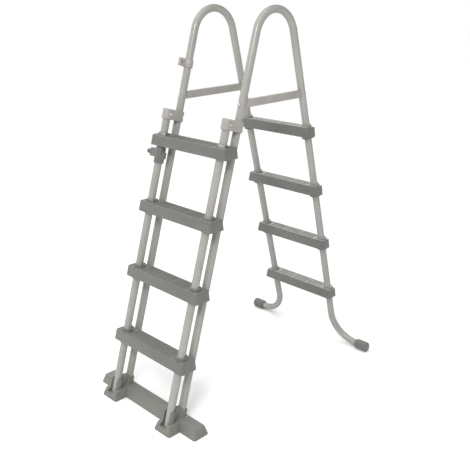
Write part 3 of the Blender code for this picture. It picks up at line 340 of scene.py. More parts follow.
def linked(name, data, axis=None):
    obj = bpy.data.objects.new(name, data)
    if axis:
        obj.matrix_world = axis
    bpy.context.scene.collection.objects.link(obj)
    return obj


def fromBmesh(name, bm, axis=None):
    bmesh.ops.recalc_face_normals(bm, faces=bm.faces)
    mesh = bpy.data.meshes.new(name)
    bm.to_mesh(mesh)
    bm.free()
    return linked(name, mesh, axis)


def addLoft(bm, rings, axis=None):
    # skin over rings of equal length, with both ends capped
    axis = axis or Matrix()
    made = [[bm.verts.new(axis @ Vector(point)) for point in ring] for ring in rings]
    for first, second in zip(made, made[1:]):
        for step in range(len(first)):
            after = (step + 1) % len(first)
            bm.faces.new((first[step], first[after], second[after], second[step]))
    bm.faces.new(made[0])
    bm.faces.new(made[-1])


def circle(radius, height, count=48):
    turns = [2 * pi * step / count for step in range(count)]
    return [(radius * cos(t), radius * sin(t), height) for t in turns]


def lathe(name, profile, axis, count=48):
    # solid turned about Z; profile is (radius, height) with no radius of 0
    bm = bmesh.new()
    addLoft(bm, [circle(radius, height, count) for radius, height in profile])
    return fromBmesh(name, bm, axis)


def arc(x, y, radius, start, end, steps):
    turns = [radians(start + (end - start) * step / steps) for step in range(steps + 1)]
    return [(x + radius * cos(t), y + radius * sin(t)) for t in turns]


def roundedBox(lowX, highX, lowY, highY, radius, steps=6):
    points = arc(highX - radius, highY - radius, radius, 0, 90, steps)
    points += arc(lowX + radius, highY - radius, radius, 90, 180, steps)
    points += arc(lowX + radius, lowY + radius, radius, 180, 270, steps)
    return points + arc(highX - radius, lowY + radius, radius, 270, 360, steps)


def roundedPolygon(corners, radius, steps=4):
    # corners replaced by arcs that touch both edges
    points = []
    for number, corner in enumerate(corners):
        corner = Vector(corner)
        before = (Vector(corners[number - 1]) - corner).normalized()
        after = (Vector(corners[(number + 1) % len(corners)]) - corner).normalized()
        half = before.angle(after) / 2
        centre = corner + (before + after).normalized() * radius / sin(half)
        first = corner + before * radius / tan(half) - centre
        last = corner + after * radius / tan(half) - centre
        swing = first.angle_signed(last)
        for step in range(steps + 1):
            spoke = first.copy()
            spoke.rotate(Matrix.Rotation(-swing * step / steps, 2))
            points.append(tuple(centre + spoke))
    return points


def prism(name, outline, low, high, axis):
    bm = bmesh.new()
    addLoft(bm, [[(x, y, z) for x, y in outline] for z in (low, high)])
    return fromBmesh(name, bm, axis)


def block(name, low, high, axis=None, radius=0.0):
    outline = [(low[0], low[1]), (high[0], low[1]), (high[0], high[1]), (low[0], high[1])]
    if radius:
        outline = roundedBox(low[0], high[0], low[1], high[1], radius)
    return prism(name, outline, low[2], high[2], axis)


def evaluatedMesh(obj):
    bpy.context.view_layer.update()
    graph = bpy.context.evaluated_depsgraph_get()
    return bpy.data.meshes.new_from_object(obj.evaluated_get(graph))


def combine(target, operation, *tools):
    for tool in tools:
        modifier = target.modifiers.new(operation, "BOOLEAN")
        modifier.operation = operation
        modifier.solver = "EXACT"
        modifier.object = tool
    mesh = evaluatedMesh(target)
    target.modifiers.clear()
    target.data = mesh
    for tool in tools:
        bpy.data.objects.remove(tool)


def rounded(obj, width, segments=3, angle=32):
    modifier = obj.modifiers.new("edges", "BEVEL")
    modifier.width = width
    modifier.segments = segments
    modifier.limit_method = "ANGLE"
    modifier.angle_limit = radians(angle)
    mesh = evaluatedMesh(obj)
    obj.modifiers.clear()
    obj.data = mesh


def dress(obj, body, slot, *nodes):
    # puts the place into the mesh, gives it its finish and body, and hides the CAD nodes it stands for
    obj.data.transform(obj.matrix_world)
    obj.matrix_world = Matrix()
    obj.data.materials.clear()
    obj.data.materials.append(finishes[slot])
    obj.data.shade_smooth()
    obj.data.set_sharp_from_angle(angle=softAngle)
    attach(obj, body)
    if nodes:
        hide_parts(*nodes)
    return obj


# ---- geometry node helpers

def nodeTree(name, inputs):
    tree = bpy.data.node_groups.new(name, "GeometryNodeTree")
    tree.interface.new_socket("Geometry", in_out="OUTPUT", socket_type="NodeSocketGeometry")
    tree.interface.new_socket("Geometry", in_out="INPUT", socket_type="NodeSocketGeometry")
    for label, kind in inputs:
        tree.interface.new_socket(label, in_out="INPUT", socket_type="NodeSocket" + kind)
    return tree, tree.nodes.new("NodeGroupInput"), tree.nodes.new("NodeGroupOutput")


def wired(tree, *wires):
    for source, label, target, socket in wires:
        tree.links.new(source.outputs[label], target.inputs[socket])


def closeTree(tree, last, label, start, output):
    # every tree ends the same way: real geometry with its material
    realize = tree.nodes.new("GeometryNodeRealizeInstances")
    finish = tree.nodes.new("GeometryNodeSetMaterial")
    wired(
        tree, (last, label, realize, "Geometry"), (realize, "Geometry", finish, "Geometry"),
        (start, "Finish", finish, "Material"), (finish, "Geometry", output, "Geometry"),
    )


def grown(obj, tree, **values):
    # runs the tree on the object and keeps only the mesh that it makes
    modifier = obj.modifiers.new(tree.name, "NODES")
    modifier.node_group = tree
    for item in tree.interface.items_tree:
        if item.in_out == "INPUT" and item.name in values:
            modifier[item.identifier] = values[item.name]
    mesh = evaluatedMesh(obj)
    name = obj.name
    bpy.data.objects.remove(obj)
    return linked(name, mesh)


def makeTubeTree():
    inputs = (("Radius", "Float"), ("Sides", "Int"), ("Finish", "Material"))
    tree, start, output = nodeTree("tubeAlongPath", inputs)
    profile = tree.nodes.new("GeometryNodeCurvePrimitiveCircle")
    skin = tree.nodes.new("GeometryNodeCurveToMesh")
    skin.inputs["Fill Caps"].default_value = True
    wired(
        tree, (start, "Sides", profile, "Resolution"), (start, "Radius", profile, "Radius"),
        (start, "Geometry", skin, "Curve"), (profile, "Curve", skin, "Profile Curve"),
    )
    closeTree(tree, skin, "Mesh", start, output)
    return tree


def makeScatterTree():
    # copies one part onto points, each turned by the point's own "turn"
    inputs = (("Part", "Object"), ("Finish", "Material"))
    tree, start, output = nodeTree("partOnPoints", inputs)
    part = tree.nodes.new("GeometryNodeObjectInfo")
    part.transform_space = "ORIGINAL"
    turn = tree.nodes.new("GeometryNodeInputNamedAttribute")
    turn.data_type = "FLOAT_VECTOR"
    turn.inputs["Name"].default_value = "turn"
    toRotation = tree.nodes.new("FunctionNodeEulerToRotation")
    place = tree.nodes.new("GeometryNodeInstanceOnPoints")
    tree.links.new([s for s in turn.outputs if s.enabled][0], toRotation.inputs["Euler"])
    wired(
        tree, (start, "Part", part, "Object"), (start, "Geometry", place, "Points"),
        (part, "Geometry", place, "Instance"), (toRotation, "Rotation", place, "Rotation"),
    )
    closeTree(tree, place, "Instances", start, output)
    return tree


def makeGripTree():
    # rows of pads on a grid, and that grid again on every tread's top
    inputs = (("Pad", "Object"), ("Length", "Float"), ("Width", "Float"))
    inputs += (("Columns", "Int"), ("Rows", "Int"), ("Finish", "Material"))
    tree, start, output = nodeTree("gripPads", inputs)
    grid = tree.nodes.new("GeometryNodeMeshGrid")
    pad = tree.nodes.new("GeometryNodeObjectInfo")
    pads = tree.nodes.new("GeometryNodeInstanceOnPoints")
    treads = tree.nodes.new("GeometryNodeInstanceOnPoints")
    wired(
        tree, (start, "Length", grid, "Size X"), (start, "Width", grid, "Size Y"),
        (start, "Columns", grid, "Vertices X"), (start, "Rows", grid, "Vertices Y"),
        (start, "Pad", pad, "Object"), (grid, "Mesh", pads, "Points"), (pad, "Geometry", pads, "Instance"),
        (start, "Geometry", treads, "Points"), (pads, "Instances", treads, "Instance"),
    )
    closeTree(tree, treads, "Instances", start, output)
    return tree


tubeTree = makeTubeTree()
scatterTree = makeScatterTree()
gripTree = makeGripTree()


def tube(name, points, radius, sidesCount, body, slot, node):
    # points are (place, share of the full radius)
    curve = bpy.data.curves.new(name, "CURVE")
    curve.dimensions = "3D"
    spline = curve.splines.new("POLY")
    spline.points.add(len(points) - 1)
    for point, (place, share) in zip(spline.points, points):
        point.co = (*place, 1)
        point.radius = share
    piece = grown(linked(name, curve), tubeTree, Radius=radius, Sides=sidesCount, Finish=finishes[slot])
    dress(piece, body, slot, node)


def steelTube(name, points, body, node):
    tube(name, points, tubeRadius, tubing["sides"], body, "powder_coat", node)


def scattered(name, part, spots, body, *nodes):
    # bright steel copies of the part on placements whose Z is its own axis; the part itself goes
    mesh = bpy.data.meshes.new(name)
    mesh.from_pydata([spot.translation for spot in spots], [], [])
    turns = mesh.attributes.new("turn", "FLOAT_VECTOR", "POINT")
    for value, spot in zip(turns.data, spots):
        value.vector = spot.to_euler()
    piece = grown(linked(name, mesh), scatterTree, Part=part, Finish=finishes["bright_steel"])
    bpy.data.objects.remove(part)
    dress(piece, body, "bright_steel", *nodes)


# ---- tubes

tubing = dict(
    sides=48, bendSteps=56, footSteps=26, swage=1.028, swageLength=0.016, swageRun=0.004, lip=0.001,
    seam=0.93, seamLength=0.0012, guardEnd=0.965, capReach=0.02,
)


def handrail(side):
    x = sides[side] * halfSpacing
    railLow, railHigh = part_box(side + "_handrail")
    outerEnd = onAxis(outerFrames[side], railLow.z + tubeRadius * sin(outerLean))
    # the pool end is as far from the outer end as the box says
    poolZ = (poolFoot - railHigh.y + tubeRadius * cos(poolLean)) / tan(poolLean)
    poolEnd = onAxis(poolFrames[side], poolZ)
    centre = Vector((x, bendY, bendZ))
    points = []
    first = pi - outerLean
    for step in range(tubing["bendSteps"] + 1):
        turn = first + (poolLean - first) * step / tubing["bendSteps"]
        spoke = Vector((0, cos(turn), sin(turn)))
        points.append((centre + spoke * bendRadius, 1.0))
    outerUp = (points[0][0] - outerEnd).normalized()
    poolUp = (points[-1][0] - poolEnd).normalized()
    swage, length = tubing["swage"], tubing["swageLength"]
    # each end widens over the leg below: (distance from the end, share of the radius)
    widening = [(0, swage * 0.985), (tubing["lip"], swage), (length, swage)]
    widening.append((length + tubing["swageRun"], 1.0))
    head = [(outerEnd + outerUp * along, share) for along, share in widening]
    tail = [(poolEnd + poolUp * along, share) for along, share in reversed(widening)]
    steelTube(side + "HandrailTube", head + points + tail, "a_frame", side + "_handrail")
    return outerEnd, poolEnd


def seamAt(top, down):
    # the thin groove where the leg meets the handrail
    seam, length = tubing["seam"], tubing["seamLength"]
    return [(top, seam), (top + down * length, seam), (top + down * length * 2, 1.0)]


def outerLegTube(side, top):
    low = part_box(side + "_outer_leg")[0]
    foot = onAxis(outerFrames[side], low.z + tubeRadius * sin(outerLean))
    points = seamAt(top, (foot - top).normalized()) + [(foot, 1.0)]
    steelTube(side + "OuterLegTube", points, "a_frame", side + "_outer_leg")


def poolLegTube(side, top):
    axis = poolFrames[side]
    cap = middle(side + "_foot_cap")
    capLow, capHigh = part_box(side + "_foot_cap")
    outward = sides[side]
    nearX = capLow.x if outward > 0 else capHigh.x
    bend = abs(nearX) - halfSpacing
    foot = up(axis, cap.z)
    points = seamAt(top, (axis.translation - top).normalized())
    for step in range(tubing["footSteps"] + 1):
        turn = pi / 2 * step / tubing["footSteps"]
        place = Vector((outward * bend * (1 - cos(turn)), 0, foot + bend * (1 - sin(turn))))
        points.append((axis @ place, 1.0))
    points.append((Vector((cap.x + outward * tubing["capReach"], cap.y, cap.z)), 1.0))
    steelTube(side + "PoolLegTube", points, "a_frame", side + "_pool_leg")


def guardTube(side):
    low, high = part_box(side + "_guard_tube")
    axis = guardFrames[side]
    foot = onAxis(axis, low.z + tubeRadius * sin(outerLean))
    top = onAxis(axis, high.z - tubeRadius * sin(outerLean))
    rise = (top - foot).normalized()
    points = [(foot, tubing["guardEnd"]), (foot + rise * tubing["lip"], 1.0), (top, 1.0)]
    steelTube(side + "GuardTube", points, "safety_ladder", side + "_guard_tube")


for side in sides:
    outerEnd, poolEnd = handrail(side)
    outerLegTube(side, outerEnd)
    poolLegTube(side, poolEnd)
    guardTube(side)
print("tubes made, bend radius", round(bendRadius, 4))

# ---- treads

treadShape = dict(
    height=0.048, edge=0.0032, edgeSteps=4, wall=0.0032, skin=0.0036, corner=0.012,
    fieldInset=0.0075, fieldDepth=0.0012, legGap=0.0016, ribs=5, ribWidth=0.0028, ribInset=0.035,
)
# the bolt way lets the spreader bolts pass behind a tread that is lifted
safetyShape = dict(
    front=0.034, back=0.048, ribBack=0.036, overhang=0.045, draft=0.006, backDraft=0.003,
    boltWay=0.0085, boltWayDepth=0.0275,
)
poolShape = dict(
    front=0.034, back=0.042, ribBack=0.042, stubBack=0.028, step=0.008, overhang=0.032, draft=0.005,
    corner=0.008,
)
collarShape = dict(
    rise=0.008, drop=0.0075, half=0.026, back=0.022, shoulder=-0.011, nose=-0.030, corner=0.004, edge=0.0018,
)
bossShape = dict(radius=0.030, collar=0.0245, shelf=-0.0055, edge=0.002)


def treadTops(kind, axes):
    # each top face's middle on the tubes' axis; the screws sit at mid height
    lean = axes["left"].col[2]
    rise = treadShape["height"] / 2
    tops = []
    for number in treadNumbers:
        spot = onAxis(axes["left"], upTo(axes["left"], f"{kind}_tread_screw_{number}_left") * lean.z)
        tops.append(Vector((0, spot.y + rise * lean.y / lean.z, spot.z + rise)))
    return tops


def safetyOutline(z, inset):
    down = -z / treadShape["height"]
    end = halfSpacing + safetyShape["overhang"] + safetyShape["draft"] * down - inset
    front = -safetyShape["front"] - safetyShape["draft"] * down + inset
    back = safetyShape["back"] + safetyShape["backDraft"] * down - inset
    corner = max(treadShape["corner"] - inset, 0.003)
    legY = guardGap + z * tan(outerLean)
    reach = tubeRadius + treadShape["legGap"] + inset
    points = arc(end - corner, back - corner, corner, 0, 90, 6)
    for legX in (halfSpacing, -halfSpacing):
        for step in range(17):
            turn = pi * step / 16
            aside = reach * cos(turn)
            y = legY - reach * sin(turn) / cos(outerLean)
            if abs(aside) < safetyShape["boltWay"] + inset:
                y = min(y, legY - (safetyShape["boltWayDepth"] + inset) / cos(outerLean))
            points.append((legX + aside, min(back, y)))
    points += arc(-end + corner, back - corner, corner, 90, 180, 6)
    points += arc(-end + corner, front + corner, corner, 180, 270, 6)
    points += arc(end - corner, front + corner, corner, 270, 360, 6)
    return [(x, y, z) for x, y in points]


def poolOutline(z, inset):
    down = -z / treadShape["height"]
    grow = poolShape["draft"] * down - inset
    end = halfSpacing + poolShape["overhang"] + grow
    front = -poolShape["front"] - grow
    back = poolShape["back"] + grow
    stub = poolShape["stubBack"] + grow
    step = halfSpacing + poolShape["step"] + grow
    corner = max(poolShape["corner"] - inset, 0.0025)
    right = arc(end - corner, front + corner, corner, 270, 360, 5)
    right += arc(end - corner, stub - corner, corner, 0, 90, 5)
    right += [(step, stub)]
    right += arc(step - corner, back - corner, corner, 0, 90, 5)
    points = right + [(-x, y) for x, y in reversed(right)]
    return [(x, y, z) for x, y in points]


def treadRings(outline):
    # cavity ceiling, inner wall, rim, outer wall, rounded edge, then the sunk top field
    shape = treadShape
    height, edge = shape["height"], shape["edge"]
    rings = [outline(-shape["skin"], shape["wall"]), outline(-height + 0.0012, shape["wall"])]
    rings += [outline(-height + 0.0003, shape["wall"] - 0.0004), outline(-height, shape["wall"] - 0.001)]
    rings += [outline(-height, 0.001), outline(-height + 0.0003, 0.0003), outline(-height + 0.001, 0)]
    rings += [outline(-height * share, 0) for share in (0.8, 0.6, 0.4, 0.2)]
    for step in range(shape["edgeSteps"] + 1):
        turn = pi / 2 * step / shape["edgeSteps"]
        rings.append(outline(-edge + edge * sin(turn), edge * (1 - cos(turn))))
    field = shape["fieldInset"]
    rings += [outline(0, field - 0.0006), outline(-0.0003, field)]
    return rings + [outline(-shape["fieldDepth"], field + 0.0008)]


def underRibs(bm, front, back, place):
    # thin cross ribs that stop just inside the walls
    reach = halfSpacing - treadShape["ribInset"]
    heights = (-treadShape["height"] + 0.006, -treadShape["skin"] + 0.0005)
    for number in range(treadShape["ribs"] + 1):
        x = -reach + 2 * reach * number / treadShape["ribs"]
        half = treadShape["ribWidth"] / 2
        bottom = [(x - half, front + 0.001), (x + half, front + 0.001), (x + half, back), (x - half, back)]
        addLoft(bm, [[(a, b, z) for a, b in bottom] for z in heights], place)


def collarRings(outline, low, high, edge):
    # straight sides with a rounded edge at both ends
    centreX = sum(x for x, y in outline) / len(outline)
    centreY = sum(y for x, y in outline) / len(outline)
    rings = []
    steps = [(low, edge), (low + edge * 0.3, edge * 0.3), (low + edge, 0)]
    steps += [(high - edge, 0), (high - edge * 0.3, edge * 0.3), (high, edge)]
    for z, inset in steps:
        ring = []
        for x, y in outline:
            aside = Vector((x - centreX, y - centreY))
            pulled = aside * (1 - inset / aside.length)
            ring.append((centreX + pulled.x, centreY + pulled.y, z))
        rings.append(ring)
    return rings


def collarSpan(lean):
    return -(treadShape["height"] + collarShape["drop"]) / cos(lean), collarShape["rise"] / cos(lean)


def safetyCollar():
    shape = collarShape
    corners = [(-shape["half"], shape["back"]), (-shape["half"], shape["shoulder"]), (0, shape["nose"])]
    corners += [(shape["half"], shape["shoulder"]), (shape["half"], shape["back"])]
    return collarRings(roundedPolygon(corners, shape["corner"]), *collarSpan(outerLean), shape["edge"])


def poolCollar():
    low, high = collarSpan(poolLean)
    edge = bossShape["edge"]
    radius, collar, shelf = bossShape["radius"], bossShape["collar"], bossShape["shelf"]
    profile = [(radius - edge * 2, low), (radius - edge * 0.4, low + edge * 0.5), (radius, low + edge * 1.5)]
    profile += [(radius, shelf - edge), (radius - edge, shelf), (collar, shelf + 0.0005)]
    profile += [(collar, high - edge), (collar - edge * 0.3, high - edge * 0.3), (collar - edge, high)]
    return [circle(r, z) for r, z in profile]


def treads(kind, tops, outline, shape, collar, lean, body):
    # each is one moulding with ribs below and a collar round each tube
    for number, top in zip(treadNumbers, tops):
        place = Matrix.Translation(top)
        bm = bmesh.new()
        addLoft(bm, treadRings(outline), place)
        underRibs(bm, -shape["front"], shape["ribBack"], place)
        for side in sides:
            addLoft(bm, collar, place @ leaning(sides[side] * halfSpacing, 0, lean))
        piece = fromBmesh(f"{kind}Tread{number}", bm)
        dress(piece, body, "tread_plastic", f"{kind}_tread_{number}")


safetyTops = treadTops("safety", guardFrames)
poolTops = treadTops("pool", poolFrames)
treads("safety", safetyTops, safetyOutline, safetyShape, safetyCollar(), -outerLean, "safety_ladder")
treads("pool", poolTops, poolOutline, poolShape, poolCollar(), poolLean, "a_frame")

gripPads = dict(length=0.094, width=0.0026, height=0.0014, columns=3, rows=11, spanX=0.202)


def padPart(values):
    # one stadium-shaped pad with a chamfered top
    radius = values["width"] / 2
    half = values["length"] / 2 - radius
    base = arc(half, 0, radius, -90, 90, 4) + arc(-half, 0, radius, 90, 270, 4)
    crown = [(x * 0.96, y * 0.7) for x, y in base]
    bm = bmesh.new()
    rings = [[(x, y, -values["height"]) for x, y in base], [(x, y, -0.0003) for x, y in base]]
    rings.append([(x, y, 0.0) for x, y in crown])
    addLoft(bm, rings)
    return fromBmesh("gripPad", bm)


def grips(name, tops, shape, body):
    width = shape["front"] + shape["back"] - 2 * treadShape["fieldInset"] - 0.008
    shift = (shape["back"] - shape["front"]) / 2
    mesh = bpy.data.meshes.new(name)
    mesh.from_pydata([top + Vector((0, shift, 0)) for top in tops], [], [])
    pad = padPart(gripPads)
    piece = grown(
        linked(name, mesh), gripTree, Pad=pad, Length=gripPads["spanX"], Width=width,
        Columns=gripPads["columns"], Rows=gripPads["rows"], Finish=finishes["tread_plastic"],
    )
    bpy.data.objects.remove(pad)
    dress(piece, body, "tread_plastic")


grips("safetyTreadGrips", safetyTops, safetyShape, "safety_ladder")
grips("poolTreadGrips", poolTops, poolShape, "a_frame")
print("treads made:", len(safetyTops) + len(poolTops))

# ---- foot caps and plugs

capShape = dict(collarRadius=0.0225, collarLength=0.009, lip=0.0012, endRound=0.010, groove=0.0008)


def footCap(side):
    low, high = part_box(side + "_foot_cap")
    radius = (high.z - low.z) / 2
    mouth = low.x if sides[side] > 0 else high.x
    length = high.x - low.x
    spot = Matrix.Translation((mouth, middle(side + "_foot_cap").y, radius))
    axis = aimed(spot, outwards(side))
    collar, lip = capShape["collarRadius"], capShape["lip"]
    profile = [(tubeRadius - 0.001, 0.004), (tubeRadius + 0.001, 0.0006), (collar - lip, 0), (collar, lip)]
    profile += [(collar, capShape["collarLength"] - lip), (collar + 0.0006, capShape["collarLength"])]
    profile += [(radius - lip, capShape["collarLength"] + 0.0003), (radius, capShape["collarLength"] + lip)]
    floor = radius - capShape["groove"]
    for at in (0.35, 0.5, 0.65):
        z = length * at
        profile += [(radius, z - 0.0016), (floor, z - 0.0009), (floor, z + 0.0009), (radius, z + 0.0016)]
    end = capShape["endRound"]
    profile += [(r, z) for z, r in arc(length - end, radius - end, end, 90, 4, 8)]
    profile += [(radius * 0.45, length), (0.0015, length)]
    piece = lathe(side + "FootCap", profile, axis, 64)
    dress(piece, "a_frame", "cap_plastic", side + "_foot_cap")


def tubePlug(side):
    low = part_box(side + "_tube_plug")[0]
    axis = guardFrames[side]
    foot = up(axis, low.z + tubeRadius * sin(outerLean))
    profile = [(0.002, foot), (tubeRadius - 0.002, foot), (tubeRadius - 0.0006, foot + 0.0005)]
    profile += [(tubeRadius, foot + 0.0016), (tubeRadius, foot + 0.0038), (tubeRadius - 0.002, foot + 0.0042)]
    profile += [(tubeRadius - 0.002, foot + 0.02), (0.002, foot + 0.021)]
    piece = lathe(side + "TubePlug", profile, axis)
    dress(piece, "safety_ladder", "cap_plastic", side + "_tube_plug")


for side in sides:
    footCap(side)
    tubePlug(side)
print("caps and plugs made")

# ---- spreader bars

barShape = dict(deep=0.017, end=0.030, trim=0.006, wall=0.0032, edge=0.002, endBlock=0.048, boltOut=0.0205)


def spreaderFrame(side):
    # runs from the outer bolt to the pool bolt, with Y down
    outerNut = middle(side + "_outer_barrel_nut")
    poolNut = middle(side + "_pool_barrel_nut")
    rise = atan2(poolNut.z - outerNut.z, poolNut.y - outerNut.y)
    return Matrix.Translation(outerNut) @ Matrix.Rotation(rise - pi / 2, 4, "X"), (poolNut - outerNut).length


def spreaderBar(side):
    axis, span = spreaderFrame(side)
    low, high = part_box(side + "_spreader_bar")
    half = (high.x - low.x) / 2
    deep = barShape["deep"]
    ends = barShape["end"] - barShape["trim"]
    outline = roundedBox(-half, half, -deep, deep, barShape["edge"], 4)
    bar = prism(side + "SpreaderBar", outline, -ends, span + ends, axis)
    wall, solid = barShape["wall"], barShape["endBlock"] - barShape["end"]
    pocketLow = (-half + wall, -deep + wall, solid)
    pocketHigh = (half - wall, deep * 2, span - solid)
    combine(bar, "DIFFERENCE", block("pocket", pocketLow, pocketHigh, axis, 0.003))
    rounded(bar, 0.0006, 2)
    dress(bar, "a_frame", "bracket_plastic", side + "_spreader_bar")
    return axis, span


# ---- fasteners

def hexReach(turn):
    # how far out a hexagon's edge is at this angle, as a share of its flats' distance
    return 1 / cos((turn + pi / 6) % (pi / 3) - pi / 6)


def fastenerPart(name, radius, height, recess, sidesCount=24, hexRecess=True):
    # domed head with a driver recess; its seat is at Z 0 and it stands along +Z
    bm = bmesh.new()
    dome = ((1, 0), (1, 0.45), (0.93, 0.75), (0.76, 0.97), (0.62, 1))
    rings = [circle(radius * share, height * rise, sidesCount) for share, rise in dome]
    across = radius * 0.42
    ring = []
    for x, y, _ in circle(1.0, height, sidesCount):
        turn = atan2(y, x)
        if hexRecess:
            reach = across * hexReach(turn)
        else:
            reach = across * (1.25 if cos(4 * turn) > 0.3 else 0.45)
        ring.append((reach * x, reach * y, height))
    rings += [ring, [(x, y, height - recess) for x, y, z in ring]]
    addLoft(bm, rings)
    return fromBmesh(name, bm)


# each head is (radius, height)
fasteners = dict(
    spreaderHead=(0.0065, 0.0045), bracketHead=(0.0062, 0.004), baseHead=(0.006, 0.003),
    treadHead=(0.0044, 0.0028), treadOut=0.026,
)
barrelNut = dict(half=0.0098, full=0.006, small=0.0056, mouth=0.003, bore=0.0028)


def spreaderFixings(side, axis, span):
    head = fastenerPart("spreaderHead", *fasteners["spreaderHead"], 0.0024)
    out = barShape["end"] + barShape["boltOut"]
    spots = [moved(axis, z=-out) @ Matrix.Rotation(pi, 4, "X"), moved(axis, z=span + out)]
    nodes = [f"{side}_{end}_spreader_bolt" for end in ("outer", "pool")]
    scattered(side + "SpreaderBolts", head, spots, "a_frame", *nodes)
    shape = barrelNut
    half = shape["half"]
    profile = [(shape["small"], -half), (shape["full"], -half + 0.0004), (shape["full"], half - 0.0004)]
    profile += [(shape["small"], half), (shape["mouth"], half), (shape["bore"], half - 0.0008)]
    nut = lathe("barrelNut", profile, None, 32)
    spots = [aimed(moved(axis, z=z), "X") for z in (0, span)]
    nodes = [f"{side}_{end}_barrel_nut" for end in ("outer", "pool")]
    scattered(side + "BarrelNuts", nut, spots, "a_frame", *nodes)


for side in sides:
    spreaderFixings(side, *spreaderBar(side))
print("spreader bars made")


def treadScrews(kind, axes, body):
    head = fastenerPart("treadHead", *fasteners["treadHead"], 0.0015, 24, False)
    spots = []
    nodes = []
    for number in treadNumbers:
        for side in sides:
            node = f"{kind}_tread_screw_{number}_{side}"
            spots.append(aimed(moved(axes[side], y=fasteners["treadOut"], z=upTo(axes[side], node)), "Y"))
            nodes.append(node)
    scattered(kind + "TreadScrews", head, spots, body, *nodes)


treadScrews("safety", guardFrames, "safety_ladder")
treadScrews("pool", poolFrames, "a_frame")


def baseScrews():
    head = fastenerPart("baseHead", *fasteners["baseHead"], 0.0014, 24, False)
    spots = []
    for side in sides:
        spot = middle(side + "_base_screw")
        spot.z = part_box(side + "_base_screw")[1].z - fasteners["baseHead"][1]
        spots.append(Matrix.Translation(spot))
    scattered("baseScrews", head, spots, "a_frame", "left_base_screw", "right_base_screw")


baseScrews()
print("screws made")

# ---- top brackets and the stop clip

bracketShape = dict(
    half=0.0237, wall=0.0065, mouth=0.026, edge=0.0016, notch=0.012, notchStart=0.010, gap=0.0015,
    recess=0.0072, pocket=0.0066,
)
nutShape = dict(
    bore=0.0028, mouth=0.0030, small=0.0052, full=0.0057, low=-0.0241, high=-0.0197, hexShare=0.87,
)


def jaw(mouth, radius):
    # degrees that half of a mouth this wide takes up on a circle
    return degrees(asin(mouth / 2 / radius))


def topBracket(side):
    axis = outerFrames[side]
    guard = guardFrames[side]
    centre = upTo(axis, side + "_bracket_bolt")
    low, high = centre - bracketShape["half"], centre + bracketShape["half"]
    offset = -guardGap * cos(outerLean)
    bore = tubeRadius + bracketShape["gap"]
    outer = tubeRadius + bracketShape["wall"]
    mouth, finger = jaw(bracketShape["mouth"], bore), jaw(bracketShape["mouth"], outer)
    outline = arc(0, 0, outer, 90 - finger, 0, 10) + arc(0, offset, outer, 0, -180, 24)
    outline += arc(0, 0, outer, 180, 90 + finger, 10) + arc(0, 0, bore, 90 + mouth, 450 - mouth, 40)
    bracket = prism(side + "TopBracket", outline, low, high, axis)
    notch = bracketShape["notch"] / 2
    notchStart = bracketShape["notchStart"]
    notchLow, notchHigh = (-outer * 2, notchStart, centre - notch), (outer * 2, outer * 2, centre + notch)
    cutters = [block("notch", notchLow, notchHigh, axis)]
    cutters.append(block("boltWay", (-0.008, -0.0275, low - 0.02), (0.008, 0, high + 0.02), axis))
    boltAxis = aimed(moved(guard, z=upTo(guard, side + "_bracket_bolt")), outwards(side))
    recess, pocket = bracketShape["recess"], bracketShape["pocket"]
    cutters.append(lathe("recess", [(recess, outer - 0.001), (recess, outer * 2)], boltAxis, 32))
    cutters.append(lathe("pocket", [(pocket, -outer * 2), (pocket, -outer + 0.0045)], boltAxis, 6))
    combine(bracket, "DIFFERENCE", *cutters)
    rounded(bracket, bracketShape["edge"])
    dress(bracket, "safety_ladder", "bracket_plastic", side + "_top_bracket")
    head = fastenerPart("bracketHead", *fasteners["bracketHead"], 0.0022)
    spot = moved(boltAxis, z=outer - 0.0007)
    scattered(side + "BracketBolt", head, [spot], "safety_ladder", side + "_bracket_bolt")
    bm = bmesh.new()
    shape = nutShape
    rings = [circle(shape["bore"], shape["low"] + 0.0008, 24), circle(shape["mouth"], shape["low"], 24)]
    profile = [(shape["small"], shape["low"]), (shape["full"], shape["low"] + 0.0005)]
    profile += [(shape["full"], shape["high"] - 0.0003), (shape["small"], shape["high"])]
    for radius, z in profile:
        flats = [atan2(y, x) for x, y, _ in circle(radius, z, 24)]
        reaches = [radius * shape["hexShare"] * hexReach(turn) for turn in flats]
        rings.append([(reach * cos(turn), reach * sin(turn), z) for reach, turn in zip(reaches, flats)])
    addLoft(bm, rings)
    nut = fromBmesh(side + "BracketNut", bm, boltAxis)
    dress(nut, "safety_ladder", "bright_steel", side + "_bracket_nut")


clipShape = dict(
    wall=0.005, mouth=0.022, armWidth=0.014, armReach=0.060, holeReach=0.043, holeRadius=0.005, edge=0.0012,
)


def stopClip():
    axis = outerFrames["left"]
    low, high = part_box("raised_stop_clip")
    # the arm's tip reaches forward and up, the ring's mouth back and down
    armTop = high.z - clipShape["armReach"] * sin(outerLean)
    ringBottom = low.z + (tubeRadius + clipShape["wall"]) * sin(outerLean)
    bottom, top = up(axis, ringBottom), up(axis, armTop)
    bore = tubeRadius + 0.0002
    outer = tubeRadius + clipShape["wall"]
    half = clipShape["armWidth"] / 2
    mouth, finger = jaw(clipShape["mouth"], bore), jaw(clipShape["mouth"], outer)
    root = degrees(acos(half / outer))
    outline = arc(0, 0, outer, 90 - finger, -root, 16)
    outline += arc(0, half - clipShape["armReach"], half, 0, -180, 12)
    outline += arc(0, 0, outer, 180 + root, 90 + finger, 16) + arc(0, 0, bore, 90 + mouth, 450 - mouth, 40)
    clip = prism("raisedStopClip", outline, bottom, top, axis)
    holeAxis = aimed(moved(axis, y=-clipShape["holeReach"], z=(bottom + top) / 2), "X")
    radius = clipShape["holeRadius"]
    combine(clip, "DIFFERENCE", lathe("hole", [(radius, -outer), (radius, outer)], holeAxis, 32))
    rounded(clip, clipShape["edge"])
    dress(clip, "a_frame", "bracket_plastic", "raised_stop_clip")


for side in sides:
    topBracket(side)
stopClip()
print("brackets and clip made")

# ---- base

